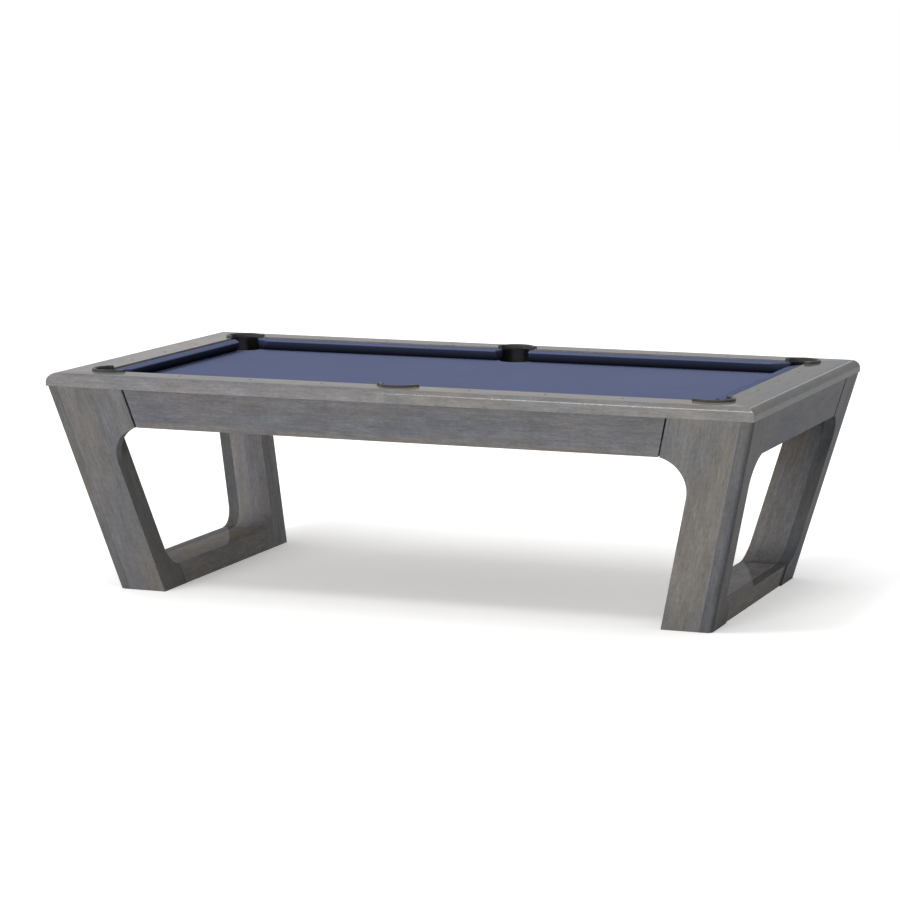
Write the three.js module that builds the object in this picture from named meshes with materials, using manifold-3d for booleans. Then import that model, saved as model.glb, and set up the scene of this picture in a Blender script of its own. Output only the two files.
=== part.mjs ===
// Pool table: a slate bed in hardwood rails, on a base whose legs lean in towards the floor.
// Millimetres, +Z up. The origin is on the floor under the middle of the table.
// +X runs along the table and +Y across it, towards the back.

import * as THREE from 'three';
import { mergeVertices } from 'three/addons/utils/BufferGeometryUtils.js';
import Module from 'manifold-3d';

const wasm = await Module();
wasm.setup();

// Playing area, from cushion nose to cushion nose
const playLength = 2235.2;
const playWidth = 1117.6;

// Heights of the rail top and of what lies under it
const railTopHeight = 818;
const railThickness = 47.3;
const clothThickness = 1;
const slateThickness = 25.4;

// Rails and cushions
const cushionWidth = 54;
const sideRailWidth = 138.3;
const endRailWidth = 158.9;
const railEdgeRadius = 32;
const noseRise = 36.3;
const noseRadius = 3.5;
const cushionStep = 5;
const cushionUndercut = 25;
const cushionCrown = 1.2;

// Pocket mouths: where the cushions' noses stop, and how far their ends slant from square
// on the way back to the wood, always towards the pocket
const cornerJawSetback = 84;
const sideJawHalfWidth = 68;
const cornerJawDegrees = 52;
const sideJawDegrees = 14;

// Pocket holes, castings and liners
const cornerPocketSetback = 26;
const sidePocketSetback = 51;
const pocketRadius = 61;
const castingWidth = 13;
const castingSeatDepth = 8;
const castingProud = 9;
const castingEdgeRadius = 5;
const castingEarRadius = 14;
const linerWall = 3.5;
const linerFlange = 3;
const linerDepth = 115.7;
const linerFootRadius = 50;
const linerClearance = 0.5;

// Slate bed
const slateReach = 100;
const slateSplit = 410;
const clothMargin = 8;

// Frame under the slates
const frameDepth = 90;
const longBeamWidth = 50;
const longBeamInset = 64;
const crossBeamWidth = 60;
const endBeamWidth = 40;
const endBeamClearance = 16;

// Leaning base
const lean = 0.25;
const endOverhang = 0.5;
const sideOverhang = 0.5;
const legWidth = 184;
const legDepth = 113;
const legCornerRadius = 22;
const legBoardThickness = 44;
const sideHaunchReach = 120;
const sideHaunchDepth = 40;
const endHaunchReach = 90;
const footHaunchReach = 75;
const footHaunchRadius = 95;

// Aprons and stretchers
const apronDepth = 141.2;
const apronThickness = 28;
const sideApronRecess = 2;
const endApronRecess = 2;
const apronReveal = 7;
const stretcherHeight = 78;
const stretcherRecess = 6;

// Levelling feet, drawn up into the legs
const footPadRadius = 25;
const footPadHeight = 8;
const footStemRadius = 6;
const footStemLength = 48;
const footTravel = 15;
const footPadClearance = 3;
const footStemClearance = 0.4;
const footRecessSpare = 4;

// Gap between pieces that are made apart, and how far a cutter overruns what it cuts
const fit = 0.3;
const overrun = 5;

// Numbers of straight steps on round stretches
const edgeSteps = 8;
const filletSteps = 14;
const roundSteps = 32;
const earSteps = 16;
const footSteps = 16;
const crownSteps = 4;
const noseSteps = 4;
const softEdgeSteps = 4;

// Levels
const bedHeight = railTopHeight - railThickness;
const slateTop = bedHeight - clothThickness;
const slateBottom = slateTop - slateThickness;
const frameBottom = slateBottom - frameDepth;
const apronBottom = bedHeight - apronDepth;
const castingSeat = railTopHeight - castingSeatDepth;
const linerTop = castingSeat - fit;
const flangeSeat = linerTop - linerFlange;
const linerBottom = bedHeight - linerDepth;

// Half lengths and half widths
const noseX = playLength / 2;
const noseY = playWidth / 2;
const woodX = noseX + cushionWidth;
const woodY = noseY + cushionWidth;
const railX = woodX + endRailWidth;
const railY = woodY + sideRailWidth;
const slateX = noseX + slateReach;
const slateY = noseY + slateReach;
const baseX = railX - endOverhang;
const baseY = railY - sideOverhang;
const mitreOffset = railX - railY;

// Pocket centres in the quarter with positive x and y
const cornerPocketX = noseX + cornerPocketSetback;
const cornerPocketY = noseY + cornerPocketSetback;
const sidePocketY = noseY + sidePocketSetback;
const linerRadius = pocketRadius + linerWall;

// Where the legs stand, at the height of the bed, before they lean
const legInnerX = baseX - legWidth;
const legInnerY = baseY - legDepth;
const legSplitX = baseX - legBoardThickness;
const sideJointX = legInnerX - sideHaunchReach;
const endJointY = legInnerY - endHaunchReach;
const footJointY = legInnerY - footHaunchReach;

const finishes = {
  railWood: { color: 0x8a8886, roughness: 0.35, metalness: 0 },
  baseWood: { color: 0x706f71, roughness: 0.4, metalness: 0 },
  endGrainWood: { color: 0x7a7876, roughness: 0.4, metalness: 0 },
  frameWood: { color: 0xb9a382, roughness: 0.8, metalness: 0 },
  slate: { color: 0x4c4f55, roughness: 0.75, metalness: 0 },
  cloth: { color: 0x4a5682, roughness: 0.95, metalness: 0 },
  cushionCloth: { color: 0x4d5987, roughness: 0.95, metalness: 0 },
  casting: { color: 0x3c3d40, roughness: 0.35, metalness: 0.8 },
  liner: { color: 0x101113, roughness: 0.25, metalness: 0 },
  footMetal: { color: 0x8d8f92, roughness: 0.4, metalness: 0.9 },
};

// Axis order that stands a flat outline upright, facing along X or along Y
const alongX = new THREE.Matrix4().makeBasis(
  new THREE.Vector3(0, 1, 0),
  new THREE.Vector3(0, 0, 1),
  new THREE.Vector3(1, 0, 0),
);
const alongY = new THREE.Matrix4().makeBasis(
  new THREE.Vector3(1, 0, 0),
  new THREE.Vector3(0, 0, 1),
  new THREE.Vector3(0, -1, 0),
);

const table = new THREE.Group();

// Adds one piece to the table, mirrored into the quarter that the two signs name
function addPiece(name, finish, solid, signX = 1, signY = 1) {
  const geometry = toGeometry(solid);
  mirrorInto(geometry, signX, signY);
  geometry.computeVertexNormals();
  const mesh = new THREE.Mesh(geometry, new THREE.MeshStandardMaterial(finish));
  mesh.name = name;
  table.add(mesh);
}

function toSolid(geometry) {
  const bare = geometry.clone();
  bare.deleteAttribute('normal');
  bare.deleteAttribute('uv');
  const merged = mergeVertices(bare);
  const vertProperties = Float32Array.from(merged.attributes.position.array);
  const triVerts = Uint32Array.from(merged.index.array);
  return new wasm.Manifold(new wasm.Mesh({ numProp: 3, vertProperties, triVerts }));
}

function toGeometry(solid) {
  const mesh = solid.getMesh();
  const geometry = new THREE.BufferGeometry();
  geometry.setAttribute('position', new THREE.BufferAttribute(Float32Array.from(mesh.vertProperties), 3));
  geometry.setIndex(new THREE.BufferAttribute(Uint32Array.from(mesh.triVerts), 1));
  return geometry;
}

function mirrorInto(geometry, signX, signY) {
  geometry.applyMatrix4(new THREE.Matrix4().makeScale(signX, signY, 1));
  if (signX * signY > 0) {
    return;
  }
  const index = geometry.index;
  for (let i = 0; i < index.count; i += 3) {
    const second = index.getX(i + 1);
    index.setX(i + 1, index.getX(i + 2));
    index.setX(i + 2, second);
  }
}

function extrude(outline, depth) {
  const shape = new THREE.Shape(outline.map(([a, b]) => new THREE.Vector2(a, b)));
  return new THREE.ExtrudeGeometry(shape, { depth, bevelEnabled: false });
}

// Prism from an outline of [y, z] points, between two places along X
function prismAlongX(outline, from, to) {
  const geometry = extrude(outline, to - from);
  geometry.applyMatrix4(alongX);
  geometry.translate(from, 0, 0);
  return geometry;
}

// Prism from an outline of [x, z] points, between two places along Y
function prismAlongY(outline, from, to) {
  const geometry = extrude(outline, to - from);
  geometry.applyMatrix4(alongY);
  geometry.translate(0, to, 0);
  return geometry;
}

// Prism from an outline of [x, y] points, between two heights
function prismAlongZ(outline, from, to) {
  const geometry = extrude(outline, to - from);
  geometry.translate(0, 0, from);
  return geometry;
}

function rectangle(lowA, lowB, highA, highB) {
  return [[lowA, lowB], [highA, lowB], [highA, highB], [lowA, highB]];
}

function block(lowX, lowY, lowZ, highX, highY, highZ) {
  return prismAlongZ(rectangle(lowX, lowY, highX, highY), lowZ, highZ);
}

function disc(x, y, radius, from, to, steps = roundSteps) {
  const geometry = new THREE.CylinderGeometry(radius, radius, to - from, steps);
  geometry.applyMatrix4(alongY);
  geometry.translate(x, y, (from + to) / 2);
  return geometry;
}

// Body turned about a vertical axis, from [radius, height] points listed from the bottom up
function turned(profile, x, y, steps = roundSteps) {
  const points = profile.map(([radius, height]) => new THREE.Vector2(radius, height));
  const geometry = new THREE.LatheGeometry(points, steps);
  geometry.applyMatrix4(alongY);
  geometry.translate(x, y, 0);
  return geometry;
}

// Points of the arc that rounds a corner, no longer than its two sides allow
function roundCorner(before, corner, after, radius, steps) {
  const at = new THREE.Vector2(...corner);
  const back = new THREE.Vector2(...before).sub(at);
  const ahead = new THREE.Vector2(...after).sub(at);
  const room = Math.min(back.length(), ahead.length());
  back.normalize();
  ahead.normalize();
  const half = Math.acos(back.dot(ahead)) / 2;
  const setback = Math.min(radius / Math.tan(half), room);
  const arcRadius = setback * Math.tan(half);
  const middle = back.clone().add(ahead).normalize();
  const centre = at.clone().addScaledVector(middle, arcRadius / Math.sin(half));
  const start = at.clone().addScaledVector(back, setback).sub(centre);
  const end = at.clone().addScaledVector(ahead, setback).sub(centre);
  const turn = Math.atan2(start.cross(end), start.dot(end));
  const points = [];
  for (let step = 0; step <= steps; step += 1) {
    const arm = start.clone().rotateAround(new THREE.Vector2(), (turn * step) / steps);
    points.push([centre.x + arm.x, centre.y + arm.y]);
  }
  return points;
}

// A place that leans: its distance from the middle of the table at a height
function leaning(atBed, height) {
  return atBed + lean * (height - bedHeight);
}

// Takes the lean out of an outline, so that a straight prism can carry it
function unleaned(outline) {
  return outline.map(([reach, height]) => [reach - lean * (height - bedHeight), height]);
}

// Leans a piece that was built upright in the quarter with positive x and y
function leanOut(geometry, alongLength, alongWidth) {
  const shear = new THREE.Matrix4().makeShear(0, 0, 0, 0, alongLength, alongWidth);
  geometry.translate(0, 0, -bedHeight);
  geometry.applyMatrix4(shear);
  geometry.translate(0, 0, bedHeight);
  return geometry;
}

// Cross-section of a rail, from its inner face outwards, with a rounded outer edge
function railProfile(inner, outer) {
  const corner = roundCorner(
    [outer, bedHeight],
    [outer, railTopHeight],
    [inner, railTopHeight],
    railEdgeRadius,
    edgeSteps,
  );
  return [[inner, bedHeight], [outer, bedHeight], ...corner, [inner, railTopHeight]];
}

// Cross-section of a cushion whose nose stands at the given distance from the middle:
// a crowned top, a round nose and an undercut face
function cushionProfile(nose) {
  const back = nose + cushionWidth - fit;
  const base = bedHeight + fit;
  const top = railTopHeight - cushionStep;
  const noseHeight = bedHeight + noseRise;
  const points = [[nose + cushionUndercut, base], [back, base], [back, top]];
  for (let step = 1; step < crownSteps; step += 1) {
    const share = step / crownSteps;
    const swell = 4 * cushionCrown * share * (1 - share);
    const height = THREE.MathUtils.lerp(top, noseHeight + noseRadius, share) + swell;
    points.push([THREE.MathUtils.lerp(back, nose + noseRadius, share), height]);
  }
  const firstAngle = Math.PI / 2;
  const lastAngle = Math.PI + Math.atan2(cushionUndercut, noseRise);
  for (let step = 0; step <= noseSteps; step += 1) {
    const angle = THREE.MathUtils.lerp(firstAngle, lastAngle, step / noseSteps);
    const reach = nose + noseRadius * (1 + Math.cos(angle));
    points.push([reach, noseHeight + noseRadius * Math.sin(angle)]);
  }
  return points;
}

// Room for a liner, with a gap all round it
function linerRoom(x, y) {
  const profile = [
    [0, linerBottom - fit],
    [linerFootRadius + fit, linerBottom - fit],
    [linerRadius + fit, slateBottom],
    [linerRadius + fit, railTopHeight + overrun],
    [0, railTopHeight + overrun],
  ];
  return toSolid(turned(profile, x, y));
}

// Room for a casting and for the liner's flange under it, from the flange's seat up
function castingRoom(x, y, ears, openSide) {
  const top = railTopHeight + overrun;
  const ring = disc(x, y, pocketRadius + castingWidth + fit, flangeSeat, top);
  let room = toSolid(ring).subtract(toSolid(openSide));
  for (const [earX, earY] of ears) {
    room = room.add(toSolid(disc(earX, earY, castingEarRadius + fit, castingSeat, top, earSteps)));
  }
  return room;
}

// Ears of a casting lie on the middle of its ring, touching the wood's inner edge
function cornerEars() {
  const middle = pocketRadius + castingWidth / 2;
  const earY = woodY + castingEarRadius;
  const earX = woodX + castingEarRadius;
  const alongSide = Math.sqrt(middle ** 2 - (earY - cornerPocketY) ** 2);
  const alongEnd = Math.sqrt(middle ** 2 - (earX - cornerPocketX) ** 2);
  return [[cornerPocketX - alongSide, earY], [earX, cornerPocketY - alongEnd]];
}

function sideEars() {
  const middle = pocketRadius + castingWidth / 2;
  const earY = woodY + castingEarRadius;
  const across = Math.sqrt(middle ** 2 - (earY - sidePocketY) ** 2);
  return [[-across, earY], [across, earY]];
}

// The part of a pocket that lies on the bed's side of the wood stays open
function cornerOpenSide(from, to) {
  const reach = linerRadius + castingWidth + overrun;
  return block(cornerPocketX - reach, cornerPocketY - reach, from, woodX, woodY, to);
}

function sideOpenSide(from, to) {
  const reach = linerRadius + castingWidth + overrun;
  return block(-reach, sidePocketY - reach, from, reach, woodY, to);
}

// Heights between which the open side of a casting is cut away
const castingCutBottom = flangeSeat - overrun;
const castingCutTop = railTopHeight + castingProud + overrun;

// Everything that the pockets take out of the rails in one quarter
function cutPocketsFromRail(solid) {
  const cornerOpen = cornerOpenSide(castingCutBottom, castingCutTop);
  const sideOpen = sideOpenSide(castingCutBottom, castingCutTop);
  return solid
    .subtract(castingRoom(cornerPocketX, cornerPocketY, cornerEars(), cornerOpen))
    .subtract(castingRoom(0, sidePocketY, sideEars(), sideOpen))
    .subtract(linerRoom(cornerPocketX, cornerPocketY))
    .subtract(linerRoom(0, sidePocketY));
}

function sideRailHalf() {
  const rail = toSolid(prismAlongX(railProfile(woodY, railY), fit / 2, railX));
  const innerY = woodY - overrun;
  const outerY = railY + overrun;
  const plan = [
    [0, innerY],
    [innerY + mitreOffset - fit / 2, innerY],
    [outerY + mitreOffset - fit / 2, outerY],
    [0, outerY],
  ];
  const trim = toSolid(prismAlongZ(plan, bedHeight - overrun, railTopHeight + overrun));
  return cutPocketsFromRail(rail.intersect(trim));
}

function endRail() {
  const rail = toSolid(prismAlongY(railProfile(woodX, railX), -railY, railY));
  const innerX = woodX - overrun;
  const outerX = railX + overrun;
  const innerY = innerX - mitreOffset - fit / 2;
  const outerY = outerX - mitreOffset - fit / 2;
  const plan = [[innerX, -innerY], [outerX, -outerY], [outerX, outerY], [innerX, innerY]];
  const trim = toSolid(prismAlongZ(plan, bedHeight - overrun, railTopHeight + overrun));
  let body = rail.intersect(trim);
  for (const signY of [1, -1]) {
    const turnedRound = toGeometry(body);
    mirrorInto(turnedRound, 1, signY);
    body = cutPocketsFromRail(toSolid(turnedRound));
  }
  return body;
}

// Distance that a cushion's end gains towards the pocket at a place across its width
function jawCut(degrees, across) {
  return Math.tan(THREE.MathUtils.degToRad(degrees)) * across;
}

function sideCushionHalf() {
  const profile = cushionProfile(noseY);
  const body = toSolid(prismAlongX(profile, 0, noseX));
  const front = -overrun;
  const back = cushionWidth + overrun;
  const plan = [
    [sideJawHalfWidth - jawCut(sideJawDegrees, front), noseY + front],
    [noseX - cornerJawSetback + jawCut(cornerJawDegrees, front), noseY + front],
    [noseX - cornerJawSetback + jawCut(cornerJawDegrees, back), noseY + back],
    [sideJawHalfWidth - jawCut(sideJawDegrees, back), noseY + back],
  ];
  return body.intersect(toSolid(prismAlongZ(plan, bedHeight - overrun, railTopHeight + overrun)));
}

function endCushion() {
  const body = toSolid(prismAlongY(cushionProfile(noseX), -noseY, noseY));
  const front = -overrun;
  const back = cushionWidth + overrun;
  const frontY = noseY - cornerJawSetback + jawCut(cornerJawDegrees, front);
  const backY = noseY - cornerJawSetback + jawCut(cornerJawDegrees, back);
  const plan = [
    [noseX + front, -frontY],
    [noseX + back, -backY],
    [noseX + back, backY],
    [noseX + front, frontY],
  ];
  return body.intersect(toSolid(prismAlongZ(plan, bedHeight - overrun, railTopHeight + overrun)));
}

function softEdge(before, corner, after) {
  return roundCorner(before, corner, after, castingEdgeRadius, softEdgeSteps);
}

// Horseshoe casting with softened edges and a round ear at each end
function casting(x, y, ears, openSide) {
  const top = railTopHeight + castingProud;
  const outer = pocketRadius + castingWidth;
  const ear = castingEarRadius;
  const ringProfile = [
    [pocketRadius, castingSeat],
    [outer, castingSeat],
    ...softEdge([outer, castingSeat], [outer, top], [pocketRadius, top]),
    ...softEdge([outer, top], [pocketRadius, top], [pocketRadius, castingSeat]),
    [pocketRadius, castingSeat],
  ];
  const earProfile = [
    [0, castingSeat],
    [ear, castingSeat],
    ...softEdge([ear, castingSeat], [ear, top], [0, top]),
    [0, top],
  ];
  let body = toSolid(turned(ringProfile, x, y)).subtract(toSolid(openSide));
  for (const [earX, earY] of ears) {
    body = body.add(toSolid(turned(earProfile, earX, earY, earSteps)));
  }
  return body.subtract(toSolid(disc(x, y, pocketRadius, castingCutBottom, castingCutTop)));
}

// Bucket that hangs by a flange under the casting, open above the bed beside the cushions
function liner(x, y, openSide) {
  const flangeRadius = pocketRadius + castingWidth;
  const profile = [
    [0, linerBottom],
    [linerFootRadius, linerBottom],
    [linerRadius, slateBottom],
    [linerRadius, flangeSeat],
    [flangeRadius, flangeSeat],
    [flangeRadius, linerTop],
    [pocketRadius, linerTop],
    [pocketRadius, slateBottom],
    [linerFootRadius - linerWall, linerBottom + linerWall],
    [0, linerBottom + linerWall],
  ];
  return toSolid(turned(profile, x, y)).subtract(toSolid(openSide));
}

// Room that a corner pocket needs in a slate, open to the slate's corner
function cornerSlateCut() {
  const radius = linerRadius + linerClearance;
  const reach = slateReach * 2;
  const slot = block(0, -radius, slateBottom - overrun, reach, radius, bedHeight + overrun);
  slot.rotateZ(Math.PI / 4);
  slot.translate(cornerPocketX, cornerPocketY, 0);
  const hole = disc(cornerPocketX, cornerPocketY, radius, slateBottom - overrun, bedHeight + overrun);
  return toSolid(hole).add(toSolid(slot));
}

function sideSlateCut() {
  const radius = linerRadius + linerClearance;
  const from = slateBottom - overrun;
  const to = bedHeight + overrun;
  const slot = block(-radius, sidePocketY, from, radius, sidePocketY + slateReach, to);
  return toSolid(disc(0, sidePocketY, radius, from, to)).add(toSolid(slot));
}

function inBothHalves(cut, signX) {
  const pieces = [1, -1].map((signY) => {
    const geometry = toGeometry(cut);
    mirrorInto(geometry, signX, signY);
    return toSolid(geometry);
  });
  return pieces[0].add(pieces[1]);
}

function endSlate() {
  const body = toSolid(block(slateSplit + fit / 2, -slateY, slateBottom, slateX, slateY, slateTop));
  return body.subtract(inBothHalves(cornerSlateCut(), 1));
}

function middleSlate() {
  const half = slateSplit - fit / 2;
  const body = toSolid(block(-half, -slateY, slateBottom, half, slateY, slateTop));
  return body.subtract(inBothHalves(sideSlateCut(), 1));
}

function bedCloth() {
  const x = slateX - clothMargin;
  const y = slateY - clothMargin;
  return toSolid(block(-x, -y, slateTop, x, y, bedHeight))
    .subtract(inBothHalves(cornerSlateCut(), 1))
    .subtract(inBothHalves(cornerSlateCut(), -1))
    .subtract(inBothHalves(sideSlateCut(), 1));
}

// Places of the frame's beams
const endBeamOuterX = cornerPocketX - linerRadius - endBeamClearance;
const endBeamInnerX = endBeamOuterX - endBeamWidth;
const longBeamY = noseY - longBeamInset;

function longBeam() {
  const x = endBeamInnerX - fit;
  const low = longBeamY - longBeamWidth / 2;
  return toSolid(block(-x, low, frameBottom, x, low + longBeamWidth, slateBottom));
}

function crossBeam(x) {
  const half = crossBeamWidth / 2;
  const y = longBeamY - longBeamWidth / 2 - fit;
  return toSolid(block(x - half, -y, frameBottom, x + half, y, slateBottom));
}

// Its ends meet the inner faces of the leaning legs
function endBeam() {
  const low = leaning(legInnerY, frameBottom) - fit;
  const high = leaning(legInnerY, slateBottom) - fit;
  const outline = [[-low, frameBottom], [low, frameBottom], [high, slateBottom], [-high, slateBottom]];
  return toSolid(prismAlongX(outline, endBeamInnerX, endBeamOuterX));
}

// Quarter circle under a haunch: square to the leg's edge at the joint, running into it below
function haunchArc(joint, corner, foot, steps) {
  const start = new THREE.Vector2(...joint);
  const along = new THREE.Vector2(...foot).sub(new THREE.Vector2(...corner)).normalize();
  const across = new THREE.Vector2(...corner).sub(start);
  across.addScaledVector(along, -across.dot(along));
  const centre = start.clone().addScaledVector(along, across.length());
  const points = [];
  for (let step = 0; step <= steps; step += 1) {
    const turn = (Math.PI / 2) * (step / steps);
    const point = centre.clone().addScaledVector(across, Math.sin(turn));
    point.addScaledVector(along, -across.length() * Math.cos(turn));
    points.push(point.toArray());
  }
  return points;
}

// Outline of a leg from the side of the table: a post with a haunch under the apron's end
function legSideOutline(outer) {
  const corner = [leaning(legInnerX, apronBottom), apronBottom];
  const joint = [leaning(sideJointX, apronBottom), apronBottom];
  const foot = [leaning(legInnerX, 0), 0];
  return unleaned([
    foot,
    [leaning(outer, 0), 0],
    [leaning(outer, bedHeight), bedHeight],
    [leaning(sideJointX, bedHeight), bedHeight],
    ...haunchArc(joint, corner, foot, filletSteps),
  ]);
}

// Inner edge of a leg board from the slate down to where its haunch runs into the leg
function endHaunchEdge() {
  const joint = [leaning(endJointY, apronBottom), apronBottom];
  const corner = [leaning(legInnerY, apronBottom), apronBottom];
  const foot = [leaning(legInnerY, 0), 0];
  return [[leaning(endJointY, bedHeight), bedHeight], ...haunchArc(joint, corner, foot, filletSteps)];
}

// Outline of a leg from the end of the table, with a haunch at the stretcher
function legEndOutline(innerEdge) {
  const lowCorner = [leaning(legInnerY, stretcherHeight), stretcherHeight];
  const lowJoint = [leaning(footJointY, stretcherHeight), stretcherHeight];
  return unleaned([
    [leaning(footJointY, 0), 0],
    [leaning(baseY, 0), 0],
    [leaning(baseY, bedHeight), bedHeight],
    ...innerEdge,
    ...roundCorner(innerEdge.at(-1), lowCorner, lowJoint, footHaunchRadius, filletSteps),
    lowJoint,
  ]);
}

// Middle of the post at the floor, where the levelling foot stands
const footX = leaning((legInnerX + legSplitX) / 2, 0);
const footY = leaning((legInnerY + baseY) / 2, 0);

function footBore() {
  const padRoom = footPadHeight + footRecessSpare;
  const stemRoom = footPadHeight + footStemLength + footRecessSpare;
  const pad = disc(footX, footY, footPadRadius + footPadClearance, -overrun, padRoom, footSteps);
  const stem = disc(footX, footY, footStemRadius + footStemClearance, 0, stemRoom, footSteps);
  return toSolid(pad).add(toSolid(stem));
}

// Post with a haunch in its outer face, rebated for the slate and hollowed for the corner pocket
function legPost() {
  const inner = legSplitX - fit / 2;
  const side = toSolid(prismAlongY(legSideOutline(inner), baseY - sideHaunchDepth, baseY));
  const straight = legEndOutline([[leaning(legInnerY, bedHeight), bedHeight]]);
  const end = toSolid(prismAlongX(straight, legInnerX, inner));
  const upright = toGeometry(side.add(end));
  const leant = toSolid(leanOut(upright, lean, lean));
  const slateRoom = block(0, 0, slateBottom, slateX + fit, slateY + fit, bedHeight + overrun);
  return leant
    .subtract(toSolid(slateRoom))
    .subtract(linerRoom(cornerPocketX, cornerPocketY))
    .subtract(footBore());
}

// Board that faces the leg's outer side, with a haunch and a rounded outer corner
function legBoard() {
  const inner = legSplitX + fit / 2;
  const board = toSolid(prismAlongX(legEndOutline(endHaunchEdge()), inner, baseX));
  const plan = [
    [inner - overrun, 0],
    [baseX, 0],
    ...roundCorner([baseX, 0], [baseX, baseY], [inner, baseY], legCornerRadius, edgeSteps),
    [inner - overrun, baseY],
  ];
  const rounded = board.intersect(toSolid(prismAlongZ(plan, 0, bedHeight)));
  return toSolid(leanOut(toGeometry(rounded), lean, lean));
}

// Long apron between the haunches, with a shadow gap at each end
function sideApron() {
  const low = leaning(sideJointX, apronBottom) - apronReveal;
  const high = leaning(sideJointX, bedHeight) - apronReveal;
  const outline = [[-low, apronBottom], [low, apronBottom], [high, bedHeight], [-high, bedHeight]];
  const outer = baseY - sideApronRecess;
  const board = prismAlongY(outline, outer - apronThickness, outer);
  return toSolid(leanOut(board, 0, lean));
}

function endApron() {
  const low = leaning(endJointY, apronBottom) - fit;
  const high = leaning(endJointY, bedHeight) - fit;
  const outline = [[-low, apronBottom], [low, apronBottom], [high, bedHeight], [-high, bedHeight]];
  const outer = baseX - endApronRecess;
  return toSolid(leanOut(prismAlongX(outline, outer - apronThickness, outer), lean, 0));
}

// Part of the floor stretcher between two places across its width
function stretcherPart(from, to) {
  const low = leaning(footJointY, 0) - fit;
  const high = leaning(footJointY, stretcherHeight) - fit;
  const outline = [[-low, 0], [low, 0], [high, stretcherHeight], [-high, stretcherHeight]];
  return toSolid(leanOut(prismAlongX(outline, from, to), lean, 0));
}

function levellingFoot() {
  const profile = [
    [0, 0],
    [footPadRadius, 0],
    [footPadRadius, footPadHeight],
    [footStemRadius, footPadHeight],
    [footStemRadius, footPadHeight + footStemLength - footTravel],
    [0, footPadHeight + footStemLength - footTravel],
  ];
  return toSolid(turned(profile, footX, footY, footSteps));
}

const ends = [['left', -1], ['right', 1]];
const sides = [['front', -1], ['back', 1]];
const linerOpenTop = castingSeat + overrun;

addPiece('slate_middle', finishes.slate, middleSlate());
addPiece('bed_cloth', finishes.cloth, bedCloth());
addPiece('frame_cross_beam_middle', finishes.frameWood, crossBeam(0));

for (const [end, signX] of ends) {
  addPiece(`slate_${end}`, finishes.slate, endSlate(), signX);
  addPiece(`end_rail_${end}`, finishes.railWood, endRail(), signX);
  addPiece(`end_cushion_${end}`, finishes.cushionCloth, endCushion(), signX);
  addPiece(`end_apron_${end}`, finishes.baseWood, endApron(), signX);
  addPiece(`frame_end_beam_${end}`, finishes.frameWood, endBeam(), signX);
  addPiece(`frame_cross_beam_${end}`, finishes.frameWood, crossBeam(slateSplit), signX);
  const split = legSplitX - fit / 2;
  addPiece(`stretcher_beam_${end}`, finishes.baseWood, stretcherPart(legInnerX, split), signX);
  const outer = baseX - stretcherRecess;
  addPiece(`stretcher_board_${end}`, finishes.baseWood, stretcherPart(split + fit, outer), signX);
}

for (const [side, signY] of sides) {
  addPiece(`side_apron_${side}`, finishes.baseWood, sideApron(), 1, signY);
  addPiece(`frame_long_beam_${side}`, finishes.frameWood, longBeam(), 1, signY);
  const castingOpen = sideOpenSide(castingCutBottom, castingCutTop);
  const sideCasting = casting(0, sidePocketY, sideEars(), castingOpen);
  addPiece(`side_casting_${side}`, finishes.casting, sideCasting, 1, signY);
  const sideLiner = liner(0, sidePocketY, sideOpenSide(slateTop, linerOpenTop));
  addPiece(`side_liner_${side}`, finishes.liner, sideLiner, 1, signY);
}

for (const [side, signY] of sides) {
  for (const [end, signX] of ends) {
    const corner = `${side}_${end}`;
    addPiece(`side_rail_${corner}`, finishes.railWood, sideRailHalf(), signX, signY);
    addPiece(`side_cushion_${corner}`, finishes.cushionCloth, sideCushionHalf(), signX, signY);
    const castingOpen = cornerOpenSide(castingCutBottom, castingCutTop);
    const cornerCasting = casting(cornerPocketX, cornerPocketY, cornerEars(), castingOpen);
    addPiece(`corner_casting_${corner}`, finishes.casting, cornerCasting, signX, signY);
    const openSide = cornerOpenSide(slateTop, linerOpenTop);
    const cornerLiner = liner(cornerPocketX, cornerPocketY, openSide);
    addPiece(`corner_liner_${corner}`, finishes.liner, cornerLiner, signX, signY);
    addPiece(`leg_post_${corner}`, finishes.baseWood, legPost(), signX, signY);
    addPiece(`leg_board_${corner}`, finishes.endGrainWood, legBoard(), signX, signY);
    addPiece(`levelling_foot_${corner}`, finishes.footMetal, levellingFoot(), signX, signY);
  }
}

export default table;
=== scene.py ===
"""Pool table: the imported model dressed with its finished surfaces, a floor, light and a camera.

Metres, +Z up. The origin lies on the floor under the middle of the table. +X runs along the
table and +Y across it, towards the back.
"""

import logging
import math
from collections.abc import Callable, Sequence
from dataclasses import dataclass, field
from enum import Enum

import bmesh
import bpy
from mathutils import Matrix, Vector


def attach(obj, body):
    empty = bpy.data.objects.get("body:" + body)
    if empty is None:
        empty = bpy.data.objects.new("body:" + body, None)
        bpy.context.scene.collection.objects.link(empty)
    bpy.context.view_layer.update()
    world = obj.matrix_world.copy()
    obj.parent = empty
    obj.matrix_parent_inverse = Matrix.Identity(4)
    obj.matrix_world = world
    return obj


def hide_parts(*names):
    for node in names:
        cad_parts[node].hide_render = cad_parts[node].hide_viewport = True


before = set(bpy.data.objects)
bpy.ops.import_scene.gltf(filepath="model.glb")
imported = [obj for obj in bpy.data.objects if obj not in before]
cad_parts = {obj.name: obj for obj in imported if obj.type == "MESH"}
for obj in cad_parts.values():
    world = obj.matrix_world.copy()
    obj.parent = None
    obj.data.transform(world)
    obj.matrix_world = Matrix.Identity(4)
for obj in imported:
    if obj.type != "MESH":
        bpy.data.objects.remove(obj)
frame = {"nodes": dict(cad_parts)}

LOG = logging.getLogger("pool_table")

Point = tuple[float, float, float]
Colour = tuple[float, float, float]
Socket = bpy.types.NodeSocket


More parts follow.
